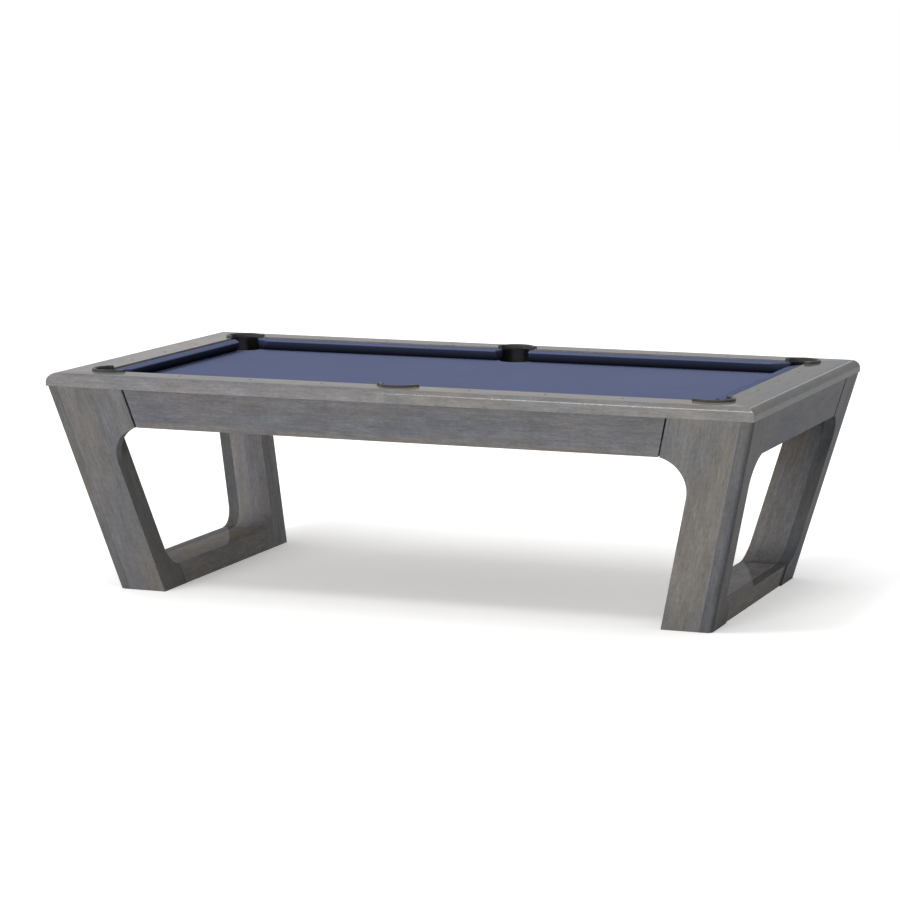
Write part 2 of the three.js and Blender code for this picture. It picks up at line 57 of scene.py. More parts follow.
class Side(Enum):
    """The two long sides of the table, with the sign of Y on each."""

    FRONT = -1
    BACK = 1

    @property
    def label(self) -> str:
        """Word for this side in the names of pieces."""
        return self.name.lower()


class End(Enum):
    """The two ends of the table, with the sign of X at each."""

    LEFT = -1
    RIGHT = 1

    @property
    def label(self) -> str:
        """Word for this end in the names of pieces."""
        return self.name.lower()


class Combine(Enum):
    """How one body acts on another."""

    CUT = "DIFFERENCE"
    JOIN = "UNION"


class Body(Enum):
    """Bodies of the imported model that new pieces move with."""

    TABLE = "table"


@dataclass(frozen=True)
class Sizes:
    """Sizes that several sub-assemblies share, in metres, as in the part's source."""

    nose_x: float = 1.1176
    nose_y: float = 0.5588
    bed: float = 0.7707
    rail_top: float = 0.818
    cloth: float = 0.001
    slate: float = 0.0254
    cushion_width: float = 0.054
    side_rail_width: float = 0.1383
    end_rail_width: float = 0.1589
    lean: float = 0.25
    end_overhang: float = 0.0005
    side_overhang: float = 0.0005
    slate_reach: float = 0.1
    fit: float = 0.0003
    overrun: float = 0.005

    @property
    def wood_x(self) -> float:
        """Inner face of the end rails."""
        return self.nose_x + self.cushion_width

    @property
    def wood_y(self) -> float:
        """Inner face of the side rails."""
        return self.nose_y + self.cushion_width

    @property
    def rail_x(self) -> float:
        """Outer face of the end rails."""
        return self.wood_x + self.end_rail_width

    @property
    def rail_y(self) -> float:
        """Outer face of the side rails."""
        return self.wood_y + self.side_rail_width

    @property
    def base_x(self) -> float:
        """Outer face of the legs along the table, at the height of the bed."""
        return self.rail_x - self.end_overhang

    @property
    def base_y(self) -> float:
        """Outer face of the legs across the table, at the height of the bed."""
        return self.rail_y - self.side_overhang

    @property
    def slate_top(self) -> float:
        """Upper face of the slates, under the cloth."""
        return self.bed - self.cloth

    @property
    def slate_bottom(self) -> float:
        """Lower face of the slates."""
        return self.slate_top - self.slate

    def leaning(self, at_bed: float, height: float) -> float:
        """Place of a leaning face at a height.

        Args:
            at_bed: Its distance from the middle of the table at the height of the bed.
            height: Height above the floor.

        Returns:
            Its distance from the middle of the table at that height.
        """
        return at_bed + self.lean * (height - self.bed)


SIZES = Sizes()


class Shape:
    """A closed body while it is being made."""

    def __init__(self, mesh: bmesh.types.BMesh) -> None:
        """Takes over a mesh.

        Args:
            mesh: The mesh that this body holds from now on.
        """
        self.mesh = mesh

    @classmethod
    def prism(cls, outline: Sequence[Point], push: Point) -> "Shape":
        """Pushes a flat outline into a solid.

        Args:
            outline: Corners of the outline, in order.
            push: How far the outline is pushed.

        Returns:
            The solid.
        """
        mesh = bmesh.new()
        face = mesh.faces.new([mesh.verts.new(corner) for corner in outline])
        pushed = bmesh.ops.extrude_face_region(mesh, geom=[face])["geom"]
        moved = [part for part in pushed if isinstance(part, bmesh.types.BMVert)]
        bmesh.ops.translate(mesh, verts=moved, vec=push)
        bmesh.ops.recalc_face_normals(mesh, faces=mesh.faces)
        return cls(mesh)

    @classmethod
    def block(cls, low: Point, high: Point) -> "Shape":
        """Makes a box between two opposite corners.

        Args:
            low: The corner with the lowest coordinates.
            high: The corner with the highest coordinates.

        Returns:
            The box.
        """
        mesh = bmesh.new()
        size = Vector(high) - Vector(low)
        middle = (Vector(high) + Vector(low)) / 2
        place = Matrix.Translation(middle) @ Matrix.Diagonal((*size, 1))
        bmesh.ops.create_cube(mesh, size=1, matrix=place)
        return cls(mesh)

    @classmethod
    def round_bar(cls, x: float, y: float, radius: float, low: float, high: float, foot: float | None = None) -> "Shape":
        """Makes an upright round bar, or a tapered one.

        Args:
            x: Place of its axis along the table.
            y: Place of its axis across the table.
            radius: Radius at its top.
            low: Height of its lower end.
            high: Height of its upper end.
            foot: Radius at its lower end, where that differs.

        Returns:
            The bar.
        """
        mesh = bmesh.new()
        place = Matrix.Translation((x, y, (low + high) / 2))
        bmesh.ops.create_cone(
            mesh,
            cap_ends=True,
            segments=96,
            radius1=radius if foot is None else foot,
            radius2=radius,
            depth=high - low,
            matrix=place,
        )
        return cls(mesh)

    @classmethod
    def turned(cls, profile: Sequence[tuple[float, float]], x: float, y: float, closed: bool) -> "Shape":
        """Spins a profile about an upright axis.

        Args:
            profile: Radius and height of each of its points.
            x: Place of the axis along the table.
            y: Place of the axis across the table.
            closed: Whether the last point joins the first.

        Returns:
            The turned body.
        """
        mesh = bmesh.new()
        points = [mesh.verts.new((x + radius, y, height)) for radius, height in profile]
        pairs = list(zip(points, points[1:]))
        if closed:
            pairs.append((points[-1], points[0]))
        edges = [mesh.edges.new(pair) for pair in pairs]
        bmesh.ops.spin(
            mesh,
            geom=points + edges,
            cent=(x, y, 0),
            axis=(0, 0, 1),
            angle=2 * math.pi,
            steps=96,
            use_merge=True,
        )
        bmesh.ops.remove_doubles(mesh, verts=mesh.verts, dist=1e-6)
        bmesh.ops.recalc_face_normals(mesh, faces=mesh.faces)
        return cls(mesh)

    def edges_at(self, x: float | None = None, y: float | None = None, z: float | None = None) -> list:
        """Finds the edges that lie at given coordinates.

        Args:
            x: Coordinate along the table that both ends have.
            y: Coordinate across the table that both ends have.
            z: Height that both ends have.

        Returns:
            The edges.
        """
        wanted = [(axis, place) for axis, place in enumerate((x, y, z)) if place is not None]
        return [
            edge
            for edge in self.mesh.edges
            if all(abs(end.co[axis] - place) < 1e-6 for end in edge.verts for axis, place in wanted)
        ]

    def round_off(self, edges: Sequence, setback: float, segments: int) -> "Shape":
        """Rounds some edges.

        Args:
            edges: The edges.
            setback: Distance from each edge at which the rounding starts.
            segments: Number of strips in the rounding.

        Returns:
            This body.
        """
        bmesh.ops.bevel(
            self.mesh,
            geom=list(edges),
            offset=setback,
            offset_type="OFFSET",
            affect="EDGES",
            segments=segments,
            profile=0.5,
            clamp_overlap=False,
            material=-1,
        )
        bmesh.ops.remove_doubles(self.mesh, verts=self.mesh.verts, dist=1e-6)
        return self

    def trim(self, place: Point, outward: Point) -> list:
        """Cuts away all that lies beyond a plane and closes the cut.

        Args:
            place: A point on the plane.
            outward: Direction in which the waste lies.

        Returns:
            The edges round the cut.
        """
        mesh = self.mesh
        parts = list(mesh.verts) + list(mesh.edges) + list(mesh.faces)
        cut = bmesh.ops.bisect_plane(mesh, geom=parts, plane_co=place, plane_no=outward, clear_outer=True)
        edges = [part for part in cut["geom_cut"] if isinstance(part, bmesh.types.BMEdge)]
        bmesh.ops.edgeloop_fill(mesh, edges=edges)
        bmesh.ops.recalc_face_normals(mesh, faces=mesh.faces)
        return edges

    def lean_out(self, along: float, across: float) -> "Shape":
        """Leans an upright body of the quarter with positive x and y.

        Args:
            along: Lean along the table, per unit of height.
            across: Lean across the table, per unit of height.

        Returns:
            This body.
        """
        lean = Matrix.Identity(4)
        lean[0][2], lean[0][3] = along, -along * SIZES.bed
        lean[1][2], lean[1][3] = across, -across * SIZES.bed
        bmesh.ops.transform(self.mesh, matrix=lean, verts=self.mesh.verts)
        return self

    def combine(self, how: Combine, *others: "Shape") -> "Shape":
        """Joins other bodies to this one or cuts them out of it.

        Args:
            how: Whether they are joined or cut.
            others: The other bodies, which are used up.

        Returns:
            This body.
        """
        for other in others:
            body, tool = self.loose_object("body"), other.loose_object("tool")
            step = body.modifiers.new("step", "BOOLEAN")
            step.operation, step.object, step.solver = how.value, tool, "EXACT"
            self.mesh.clear()
            self.mesh.from_object(body, bpy.context.evaluated_depsgraph_get())
            other.mesh.free()
            for used in (body, tool):
                data = used.data
                bpy.data.objects.remove(used)
                bpy.data.meshes.remove(data)
        bmesh.ops.remove_doubles(self.mesh, verts=self.mesh.verts, dist=2e-6)
        bmesh.ops.dissolve_degenerate(self.mesh, edges=self.mesh.edges, dist=1e-6)
        bmesh.ops.recalc_face_normals(self.mesh, faces=self.mesh.faces)
        return self

    def mark_edges(self, quiet: Callable[[Vector], bool] | None = None) -> "Shape":
        """Marks the sharp edges that are to be softened.

        Args:
            quiet: Tells of a point whether edges there stay as they are.

        Returns:
            This body.
        """
        weight = self.mesh.edges.layers.float.new("bevel_weight_edge")
        for edge in self.mesh.edges:
            sharp = len(edge.link_faces) == 2 and edge.calc_face_angle() > math.radians(35)
            kept = quiet is not None and all(quiet(end.co) for end in edge.verts)
            edge[weight] = float(sharp and not kept)
        return self

    def loose_object(self, name: str) -> bpy.types.Object:
        """Puts the body into the scene as it is.

        Args:
            name: Name of the object.

        Returns:
            The object.
        """
        data = bpy.data.meshes.new(name)
        self.mesh.to_mesh(data)
        made = bpy.data.objects.new(name, data)
        bpy.context.scene.collection.objects.link(made)
        return made

    def mirrored(self, sign_x: int, sign_y: int) -> "Shape":
        """Copies the body into another quarter of the table.

        Args:
            sign_x: Sign of X in that quarter.
            sign_y: Sign of Y in that quarter.

        Returns:
            The copy, with its faces outward.
        """
        copy = self.mesh.copy()
        bmesh.ops.scale(copy, vec=(sign_x, sign_y, 1), verts=copy.verts)
        bmesh.ops.recalc_face_normals(copy, faces=copy.faces)
        return Shape(copy)


def haunch_arc(
    joint: Sequence[float], corner: Sequence[float], foot: Sequence[float], steps: int
) -> list[tuple[float, float]]:
    """Draws the quarter circle under a haunch: square to the leg at the joint, running into it below.

    Args:
        joint: Where it starts.
        corner: Where the leg's edge would meet the apron.
        foot: A point further down the leg's edge.
        steps: Number of straight stretches.

    Returns:
        Points from the joint to the leg's edge.
    """
    start, top = Vector(joint), Vector(corner)
    along = (Vector(foot) - top).normalized()
    across = (top - start) - along * (top - start).dot(along)
    centre = start + along * across.length
    turns = [math.pi / 2 * step / steps for step in range(steps + 1)]
    points = [centre + across * math.sin(a) - along * across.length * math.cos(a) for a in turns]
    return [(point.x, point.y) for point in points]


def fillet_setback(before: Sequence[float], corner: Sequence[float], after: Sequence[float], radius: float) -> float:
    """Finds where the rounding of a corner starts.

    Args:
        before: Flat point before the corner.
        corner: The corner.
        after: Flat point after the corner.
        radius: Radius of the rounding.

    Returns:
        Distance from the corner, no longer than its two sides allow.
    """
    back = Vector(before) - Vector(corner)
    ahead = Vector(after) - Vector(corner)
    half = back.angle(ahead) / 2
    return min(radius / math.tan(half), back.length, ahead.length)


class Recipe:
    """The nodes of one material, with short ways to add and join them."""

    def __init__(self, name: str) -> None:
        """Starts a material.

        Args:
            name: Its name.
        """
        self.material = bpy.data.materials.new(name)
        self.material.use_nodes = True
        self.tree = self.material.node_tree
        self.surface = self.tree.nodes["Principled BSDF"]

    def add(self, kind: str, settings: dict | None = None, **inputs: object) -> bpy.types.Node:
        """Adds a node.

        Args:
            kind: Blender's name of the node's type, without its first words.
            settings: Values of the node's own properties.
            inputs: A number, colour or other node's output for each input, with _ for a space.

        Returns:
            The node.
        """
        node = self.tree.nodes.new("ShaderNode" + kind)
        for key, value in (settings or {}).items():
            setattr(node, key, value)
        for key, value in inputs.items():
            self.feed(node, key.replace("_", " "), value)
        return node

    def feed(self, node: bpy.types.Node, name: str | int, value: object) -> None:
        """Sets or joins one input of a node.

        Args:
            node: The node.
            name: Name or number of the input.
            value: A number, a colour or another node's output.
        """
        if isinstance(value, Socket):
            self.tree.links.new(value, node.inputs[name])
        else:
            node.inputs[name].default_value = value

    def set(self, **inputs: object) -> None:
        """Feeds the shader's own inputs, with _ for a space in their names."""
        for key, value in inputs.items():
            self.feed(self.surface, key.replace("_", " "), value)

    def stretch(self, place: Socket, by: Point) -> Socket:
        """Scales a place unevenly, so that a pattern on it is stretched."""
        node = self.add("VectorMath", {"operation": "MULTIPLY"})
        self.feed(node, 0, place)
        self.feed(node, 1, by)
        return node.outputs[0]

    def noise(self, place: Socket, scale: float, detail: float = 2.0, roughness: float = 0.5) -> Socket:
        """Adds a soft random pattern between 0 and 1."""
        node = self.add("TexNoise", None, Scale=scale, Detail=detail, Roughness=roughness)
        self.feed(node, "Vector", place)
        return node.outputs["Fac"]

    def sum(self, operation: str, first: object, second: object) -> Socket:
        """Works out one number from two."""
        node = self.add("Math", {"operation": operation})
        self.feed(node, 0, first)
        self.feed(node, 1, second)
        return node.outputs[0]

    def spread(self, value: Socket, low: float, high: float, to_low: float, to_high: float) -> Socket:
        """Maps one range of a value to another, and holds it inside."""
        node = self.add("MapRange", None, From_Min=low, From_Max=high, To_Min=to_low, To_Max=to_high)
        self.feed(node, "Value", value)
        return node.outputs[0]

    def blend(self, share: object, first: object, second: object) -> Socket:
        """Mixes two colours."""
        node = self.add("Mix", {"data_type": "RGBA"})
        self.feed(node, 0, share)
        self.feed(node, 6, first)
        self.feed(node, 7, second)
        return node.outputs[2]

    def brighten(self, colour: Socket, by: Socket) -> Socket:
        """Scales a colour by a number."""
        node = self.add("VectorMath", {"operation": "SCALE"})
        self.feed(node, 0, colour)
        self.feed(node, "Scale", by)
        return node.outputs[0]

    def bump(self, height: Socket, strength: float, distance: float) -> None:
        """Gives the surface relief from a height pattern."""
        node = self.add("Bump", None, Strength=strength, Distance=distance)
        self.feed(node, "Height", height)
        self.set(Normal=node.outputs[0])

    def object_place(self) -> Socket:
        """Place on the object, in metres."""
        return self.add("TexCoord").outputs["Object"]


def rgba(hexcode: str, strength: float = 1.0) -> tuple[float, float, float, float]:
    """Turns a screen colour into a linear one.

    Args:
        hexcode: Six hexadecimal digits.
        strength: Factor on the linear colour.

    Returns:
        Linear red, green, blue and alpha.
    """
    parts = [int(hexcode[start : start + 2], 16) / 255 for start in (0, 2, 4)]
    linear = [part / 12.92 if part <= 0.04045 else ((part + 0.055) / 1.055) ** 2.4 for part in parts]
    return (*(part * strength for part in linear), 1.0)


@dataclass(frozen=True)
class StainedWood:
    """Grey-stained hardwood in glued staves, under a satin lacquer."""

    name: str
    cool: str
    warm: str
    violet: str
    strength: float
    stave_width: float
    stave_share: float
    lacquer: float

    def material(self) -> bpy.types.Material:
        """Builds the finish, which reads each board's own grain attribute."""
        recipe = Recipe(self.name)
        grain = recipe.add("Attribute", {"attribute_name": "grain"}).outputs["Vector"]
        parts = recipe.add("SeparateXYZ")
        recipe.feed(parts, 0, grain)
        wander = recipe.noise(recipe.stretch(grain, (1.2, 0.0, 0.0)), 1.0)
        across = recipe.sum("ADD", parts.outputs[1], recipe.sum("MULTIPLY", wander, 0.02))
        staves = recipe.add("TexVoronoi", {"voronoi_dimensions": "1D"})
        recipe.feed(staves, "W", recipe.sum("DIVIDE", across, self.stave_width))
        recipe.feed(staves, "Scale", 1.0)
        stave = recipe.add("SeparateColor")
        recipe.feed(stave, 0, staves.outputs["Color"])
        blotch = recipe.noise(recipe.stretch(grain, (2.4, 8.0, 8.0)), 1.0, 3.0, 0.5)
        cloud = recipe.noise(recipe.stretch(grain, (9.0, 30.0, 30.0)), 1.0, 4.0, 0.6)
        mottle = recipe.noise(recipe.stretch(grain, (60.0, 120.0, 120.0)), 1.0, 4.0, 0.65)
        streak = recipe.noise(recipe.stretch(grain, (9.0, 130.0, 130.0)), 1.0, 4.0, 0.75)
        fibre = recipe.noise(recipe.stretch(grain, (30.0, 420.0, 420.0)), 1.0, 3.0)
        figure = recipe.noise(recipe.stretch(grain, (75.0, 14.0, 14.0)), 1.0, 2.0)
        mixed = recipe.sum("MULTIPLY", stave.outputs[0], self.stave_share)
        rest = recipe.sum("MULTIPLY", recipe.spread(blotch, 0.36, 0.64, 0, 1), 1 - self.stave_share)
        tone = recipe.blend(recipe.sum("ADD", mixed, rest), rgba(self.cool, self.strength), rgba(self.warm, self.strength))
        hue = recipe.sum("MULTIPLY", stave.outputs[1], 0.4)
        tone = recipe.blend(hue, tone, rgba(self.violet, self.strength))
        value = recipe.spread(stave.outputs[2], 0, 1, 1 - 0.12 * self.stave_share, 1 + 0.12 * self.stave_share)
        # The shade attribute holds each piece's tone times any painted light and shade.
        value = recipe.sum("MULTIPLY", value, recipe.add("Attribute", {"attribute_name": "shade"}).outputs["Fac"])
        for pattern, depth in ((cloud, 0.14), (mottle, 0.12), (streak, 0.12), (fibre, 0.09), (figure, 0.03)):
            value = recipe.sum("MULTIPLY", value, recipe.spread(pattern, 0.3, 0.7, 1 - depth, 1 + depth))
        recipe.set(
            Base_Color=recipe.brighten(tone, value),
            Roughness=recipe.spread(mottle, 0.3, 0.7, 0.42, 0.54),
            Specular_IOR_Level=0.0,
            Coat_Weight=self.lacquer,
            Coat_Roughness=0.07,
        )
        recipe.bump(recipe.sum("ADD", fibre, streak), 0.12, 0.0004)
        return recipe.material


@dataclass(frozen=True)
class WoolCloth:
    """Napped billiard cloth, with painted shade that can darken it below the height of the cushions' noses and along
    their backs.
    """

    name: str
    colour: str
    strength: float
    shade: float

    def material(self) -> bpy.types.Material:
        """Builds the finish."""
        recipe = Recipe(self.name)
        place = recipe.object_place()
        broad = recipe.noise(place, 3.0, 3.0)
        nap = recipe.noise(recipe.stretch(place, (1.0, 1.6, 1.0)), 850.0, 3.0, 0.7)
        fluff = recipe.noise(place, 160.0, 3.0, 0.6)
        height = recipe.add("SeparateXYZ")
        recipe.feed(height, 0, place)
        # Painted shade: the face under a cushion's nose is darkened, most at its foot, with a quick step just under the
        # nose.
        foot, nose, turn = SIZES.bed + 0.004, SIZES.bed + 0.0375, 0.003
        under = recipe.spread(height.outputs[2], foot, nose, 1 - self.shade, 1)
        lip = recipe.spread(height.outputs[2], nose - turn, nose, 1 - 0.65 * self.shade, 1)
        under = recipe.sum("MULTIPLY", under, lip)
        # Painted shade along the back of the cushion, where it meets the rail.
        under = recipe.sum("MULTIPLY", under, self.tuck(recipe, height))
        value = recipe.sum("MULTIPLY", under, recipe.spread(broad, 0.3, 0.7, 0.97, 1.03))
        for pattern, depth in ((nap, 0.12), (fluff, 0.05)):
            value = recipe.sum("MULTIPLY", value, recipe.spread(pattern, 0.3, 0.7, 1 - depth, 1 + depth))
        base = recipe.blend(recipe.spread(fluff, 0.3, 0.7, 0, 1), rgba(self.colour, self.strength), rgba(self.colour, self.strength * 1.05))
        recipe.set(
            Base_Color=recipe.brighten(base, value),
            Roughness=0.95,
            Specular_IOR_Level=0.0,
        )
        recipe.bump(nap, 0.3, 0.0004)
        return recipe.material

    def tuck(self, recipe: Recipe, place: bpy.types.Node) -> Socket:
        """Paints shade along the back of a cushion, in a narrow band where its cloth meets the rail.

        Args:
            recipe: The finish that is being built.
            place: Node that gives the three coordinates of a point.

        Returns:
            Factor on the cloth's colour.
        """
        past = []
        for axis, half in enumerate((SIZES.nose_x, SIZES.nose_y)):
            away = recipe.sum("ABSOLUTE", place.outputs[axis], 0)
            past.append(recipe.sum("SUBTRACT", away, half))
        beyond = recipe.sum("MAXIMUM", *past)
        back = SIZES.cushion_width
        return recipe.spread(beyond, back - 0.011, back - 0.002, 1, 1 - self.shade)


@dataclass(frozen=True)
class DarkCasting:
    """Dark plated metal, slightly uneven as it came from the mould."""

    name: str
    colour: str
    roughness: float
    metal: float

    def material(self) -> bpy.types.Material:
        """Builds the finish."""
        recipe = Recipe(self.name)
        place = recipe.object_place()
        skin = recipe.noise(place, 420.0, 3.0)
        broad = recipe.noise(place, 30.0, 2.0)
        base = recipe.blend(recipe.spread(broad, 0.3, 0.7, 0, 1), rgba(self.colour, 0.85), rgba(self.colour, 1.2))
        recipe.set(
            Base_Color=base,
            Metallic=self.metal,
            Specular_IOR_Level=0.12,
            Roughness=recipe.spread(skin, 0.3, 0.7, self.roughness - 0.05, self.roughness + 0.07),
        )
        recipe.bump(skin, 0.15, 0.0003)
        return recipe.material


@dataclass(frozen=True)
class GlossyPlastic:
    """Black moulded plastic with a faint texture."""

    name: str
    colour: str
    roughness: float
    gloss: float

    def material(self) -> bpy.types.Material:
        """Builds the finish."""
        recipe = Recipe(self.name)
        place = recipe.object_place()
        skin = recipe.noise(place, 600.0, 2.0)
        broad = recipe.noise(place, 14.0, 2.0)
        base = recipe.blend(recipe.spread(broad, 0.3, 0.7, 0, 1), rgba(self.colour, 0.8), rgba(self.colour, 1.3))
        recipe.set(
            Base_Color=base,
            Roughness=recipe.spread(broad, 0.3, 0.7, self.roughness - 0.05, self.roughness + 0.05),
            Specular_IOR_Level=self.gloss,
            Coat_Weight=0.8 * self.gloss,
            Coat_Roughness=0.15,
        )
        recipe.bump(skin, 0.08, 0.0002)
        return recipe.material


@dataclass(frozen=True)
class HonedSlate:
    """Machined slate with a fine layered look."""

    name: str
    colour: str

    def material(self) -> bpy.types.Material:
        """Builds the finish."""
        recipe = Recipe(self.name)
        place = recipe.object_place()
        layers = recipe.noise(recipe.stretch(place, (6.0, 6.0, 260.0)), 1.0, 4.0, 0.6)
        specks = recipe.noise(place, 380.0, 3.0, 0.7)
        value = recipe.sum(
            "MULTIPLY", recipe.spread(layers, 0.3, 0.7, 0.85, 1.15), recipe.spread(specks, 0.3, 0.7, 0.9, 1.1)
        )
        base = recipe.blend(recipe.spread(layers, 0.3, 0.7, 0, 1), rgba(self.colour), rgba("5a5c60"))
        recipe.set(Base_Color=recipe.brighten(base, value), Roughness=0.7)
        recipe.bump(specks, 0.2, 0.0004)
        return recipe.material


@dataclass(frozen=True)
class BareTimber:
    """Unfinished sawn timber of the frame."""

    name: str
    light: str
    dark: str
    along: Point

    def material(self) -> bpy.types.Material:
        """Builds the finish."""
        recipe = Recipe(self.name)
        place = recipe.object_place()
        rings = recipe.noise(recipe.stretch(place, self.along), 1.0, 5.0, 0.6)
        broad = recipe.noise(recipe.stretch(place, tuple(part / 6 for part in self.along)), 1.0, 3.0)
        base = recipe.blend(recipe.spread(rings, 0.35, 0.65, 0, 1), rgba(self.light), rgba(self.dark))
        recipe.set(Base_Color=recipe.brighten(base, recipe.spread(broad, 0.3, 0.7, 0.88, 1.1)), Roughness=0.75)
        recipe.bump(rings, 0.2, 0.0006)
        return recipe.material


@dataclass(frozen=True)
class BrightSteel:
    """Zinc-plated steel."""

    name: str
    colour: str

    def material(self) -> bpy.types.Material:
        """Builds the finish."""
        recipe = Recipe(self.name)
        place = recipe.object_place()
        turning = recipe.noise(recipe.stretch(place, (20.0, 20.0, 900.0)), 1.0, 2.0)
        broad = recipe.noise(place, 90.0, 2.0)
        base = recipe.blend(recipe.spread(broad, 0.3, 0.7, 0, 1), rgba(self.colour, 0.85), rgba(self.colour, 1.1))
        recipe.set(Base_Color=base, Metallic=1.0, Roughness=recipe.spread(turning, 0.3, 0.7, 0.28, 0.42))
        recipe.bump(turning, 0.1, 0.0003)
        return recipe.material


@dataclass(frozen=True)
class Board:
    """How a wooden piece is laid in its board, and a factor on its wood's colour, which for some pieces holds painted
    light and shade.
    """

    along: Point
    across: Point
    through: Point
    seed: int
    level: float = 0.0
    tone: float = 1.0

    def place(self) -> Matrix:
        """Matrix from the table's coordinates to the board's."""
        rows = [Vector(self.along), Vector(self.across), Vector(self.through)]
        shift = [0.737 * self.seed, 0.353 * self.seed, 0.191 * self.seed]
        return Matrix([(*row, offset - row.z * self.level) for row, offset in zip(rows, shift)] + [(0, 0, 0, 1)])


@dataclass
class Workshop:
    """Turns shapes into finished pieces of the table."""

    made: list[str] = field(default_factory=list)

    def finish(
        self,
        shape: Shape,
        name: str,
        material: bpy.types.Material,
        nodes: Sequence[str] = (),
        edge: float = 0.0,
        board: Board | None = None,
        shade: Callable[[Vector], float] | None = None,
    ) -> bpy.types.Object:
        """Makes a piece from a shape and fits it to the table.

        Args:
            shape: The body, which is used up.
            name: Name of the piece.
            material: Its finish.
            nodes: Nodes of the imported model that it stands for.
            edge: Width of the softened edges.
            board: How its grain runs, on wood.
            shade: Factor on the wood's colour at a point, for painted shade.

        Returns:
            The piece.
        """
        piece = shape.loose_object(name)
        shape.mesh.free()
        data = piece.data
        data.shade_smooth()
        data.set_sharp_from_angle(angle=math.radians(28))
        data.materials.append(material)
        if board is not None:
            place = board.place()
            grain = data.attributes.new("grain", "FLOAT_VECTOR", "POINT")
            for vertex, entry in zip(data.vertices, grain.data):
                entry.vector = place @ vertex.co
            tones = data.attributes.new("shade", "FLOAT", "POINT")
            for vertex, entry in zip(data.vertices, tones.data):
                entry.value = board.tone * (shade(vertex.co) if shade else 1)
        if edge:
            soften = piece.modifiers.new("soften", "BEVEL")
            soften.width, soften.segments, soften.limit_method = edge, 2, "WEIGHT"
            even = piece.modifiers.new("even", "WEIGHTED_NORMAL")
            even.keep_sharp = True
        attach(piece, Body.TABLE.value)
        if nodes:
            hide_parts(*nodes)
        self.made.append(name)
        LOG.info("made %s, %d faces", name, len(data.polygons))
        return piece


@dataclass(frozen=True)
class Pocket:
    """One pocket of the quarter with positive x and y."""

    x: float
    y: float
    ears: tuple[tuple[float, float], tuple[float, float]]
    corner: bool
    radius: float = 0.061
    ring: float = 0.013
    seat: float = 0.81
    top: float = 0.827
    ear_radius: float = 0.014
    wall: float = 0.0035
    flange: float = 0.003
    depth: float = 0.1157
    foot_radius: float = 0.05
    clearance: float = 0.0005
    ring_edge: float = 0.0055

    @property
    def outer(self) -> float:
        """Outer radius of the casting."""
        return self.radius + self.ring

    @property
    def liner(self) -> float:
        """Outer radius of the liner."""
        return self.radius + self.wall

    @property
    def flange_seat(self) -> float:
        """Height of the wood under the liner's flange."""
        return self.seat - SIZES.fit - self.flange

    def bar(self, radius: float, low: float, high: float) -> Shape:
        """Makes a round bar on this pocket's axis."""
        return Shape.round_bar(self.x, self.y, radius, low, high)

    def open_side(self, low: float, high: float) -> Shape:
        """Makes the block over the bed, between two heights, that the pocket leaves open."""
        reach = self.liner + self.ring + SIZES.overrun
        far_x = SIZES.wood_x if self.corner else self.x + reach
        return Shape.block((self.x - reach, self.y - reach, low), (far_x, SIZES.wood_y, high))

    def rail_waste(self) -> list[Shape]:
        """Makes what the pocket takes out of the rails."""
        above = SIZES.rail_top + SIZES.overrun
        ring = self.bar(self.outer + SIZES.fit, self.flange_seat, above)
        ring.combine(Combine.CUT, self.open_side(self.flange_seat - SIZES.overrun, above + SIZES.overrun))
        ears = [Shape.round_bar(*ear, self.ear_radius + SIZES.fit, self.seat, above) for ear in self.ears]
        return [self.liner_room(), ring, *ears]

    def liner_room(self) -> Shape:
        """Makes the room for the liner, with a gap round it."""
        bottom = SIZES.bed - self.depth - SIZES.fit
        wide = self.liner + SIZES.fit
        top = SIZES.rail_top + SIZES.overrun
        profile = [(0, bottom), (self.foot_radius + SIZES.fit, bottom), (wide, SIZES.slate_bottom), (wide, top), (0, top)]
        return Shape.turned(profile, self.x, self.y, closed=False)

    def slate_waste(self) -> list[Shape]:
        """Makes what the pocket takes out of the cloth and slate."""
        radius = self.liner + self.clearance
        low, high = SIZES.slate_bottom - SIZES.overrun, SIZES.bed + SIZES.overrun
        reach = SIZES.slate_reach * 2
        slot = Shape.block((0, -radius, low), (reach, radius, high))
        turn = Matrix.Rotation(math.radians(45 if self.corner else 90), 4, "Z")
        bmesh.ops.transform(slot.mesh, matrix=Matrix.Translation((self.x, self.y, 0)) @ turn, verts=slot.mesh.verts)
        return [self.bar(radius, low, high), slot]

    def casting(self) -> Shape:
        """Makes the horseshoe with its two ears."""
        section = [(self.radius, self.seat), (self.outer, self.seat), (self.outer, self.top), (self.radius, self.top)]
        ring = Shape.turned(section, self.x, self.y, closed=True)
        ring.round_off(self.rim(ring), self.ring_edge, 6)
        ring.combine(Combine.CUT, self.open_side(self.seat - SIZES.overrun, self.top + SIZES.overrun))
        for ear in self.ears:
            knob = Shape.round_bar(*ear, self.ear_radius, self.seat, self.top)
            knob.round_off(self.rim(knob), self.ring_edge, 6)
            ring.combine(Combine.JOIN, knob)
        return ring.combine(Combine.CUT, self.bar(self.radius, self.seat - SIZES.overrun, self.top + SIZES.overrun))

    def rim(self, shape: Shape) -> list:
        """Finds the round edges along the top of a casting's body."""
        return [edge for edge in shape.edges_at(z=self.top) if edge.calc_face_angle(0) > 1]

    def bucket(self) -> Shape:
        """Makes the liner with its flange."""
        bottom = SIZES.bed - self.depth
        top = self.seat - SIZES.fit
        profile = [
            (0, bottom),
            (self.foot_radius, bottom),
            (self.liner, SIZES.slate_bottom),
            (self.liner, self.flange_seat),
            (self.outer, self.flange_seat),
            (self.outer, top),
            (self.radius, top),
            (self.radius, SIZES.slate_bottom),
            (self.foot_radius - self.wall, bottom + self.wall),
            (0, bottom + self.wall),
        ]
        body = Shape.turned(profile, self.x, self.y, closed=False)
        return body.combine(Combine.CUT, self.open_side(SIZES.slate_top, self.seat + SIZES.overrun))


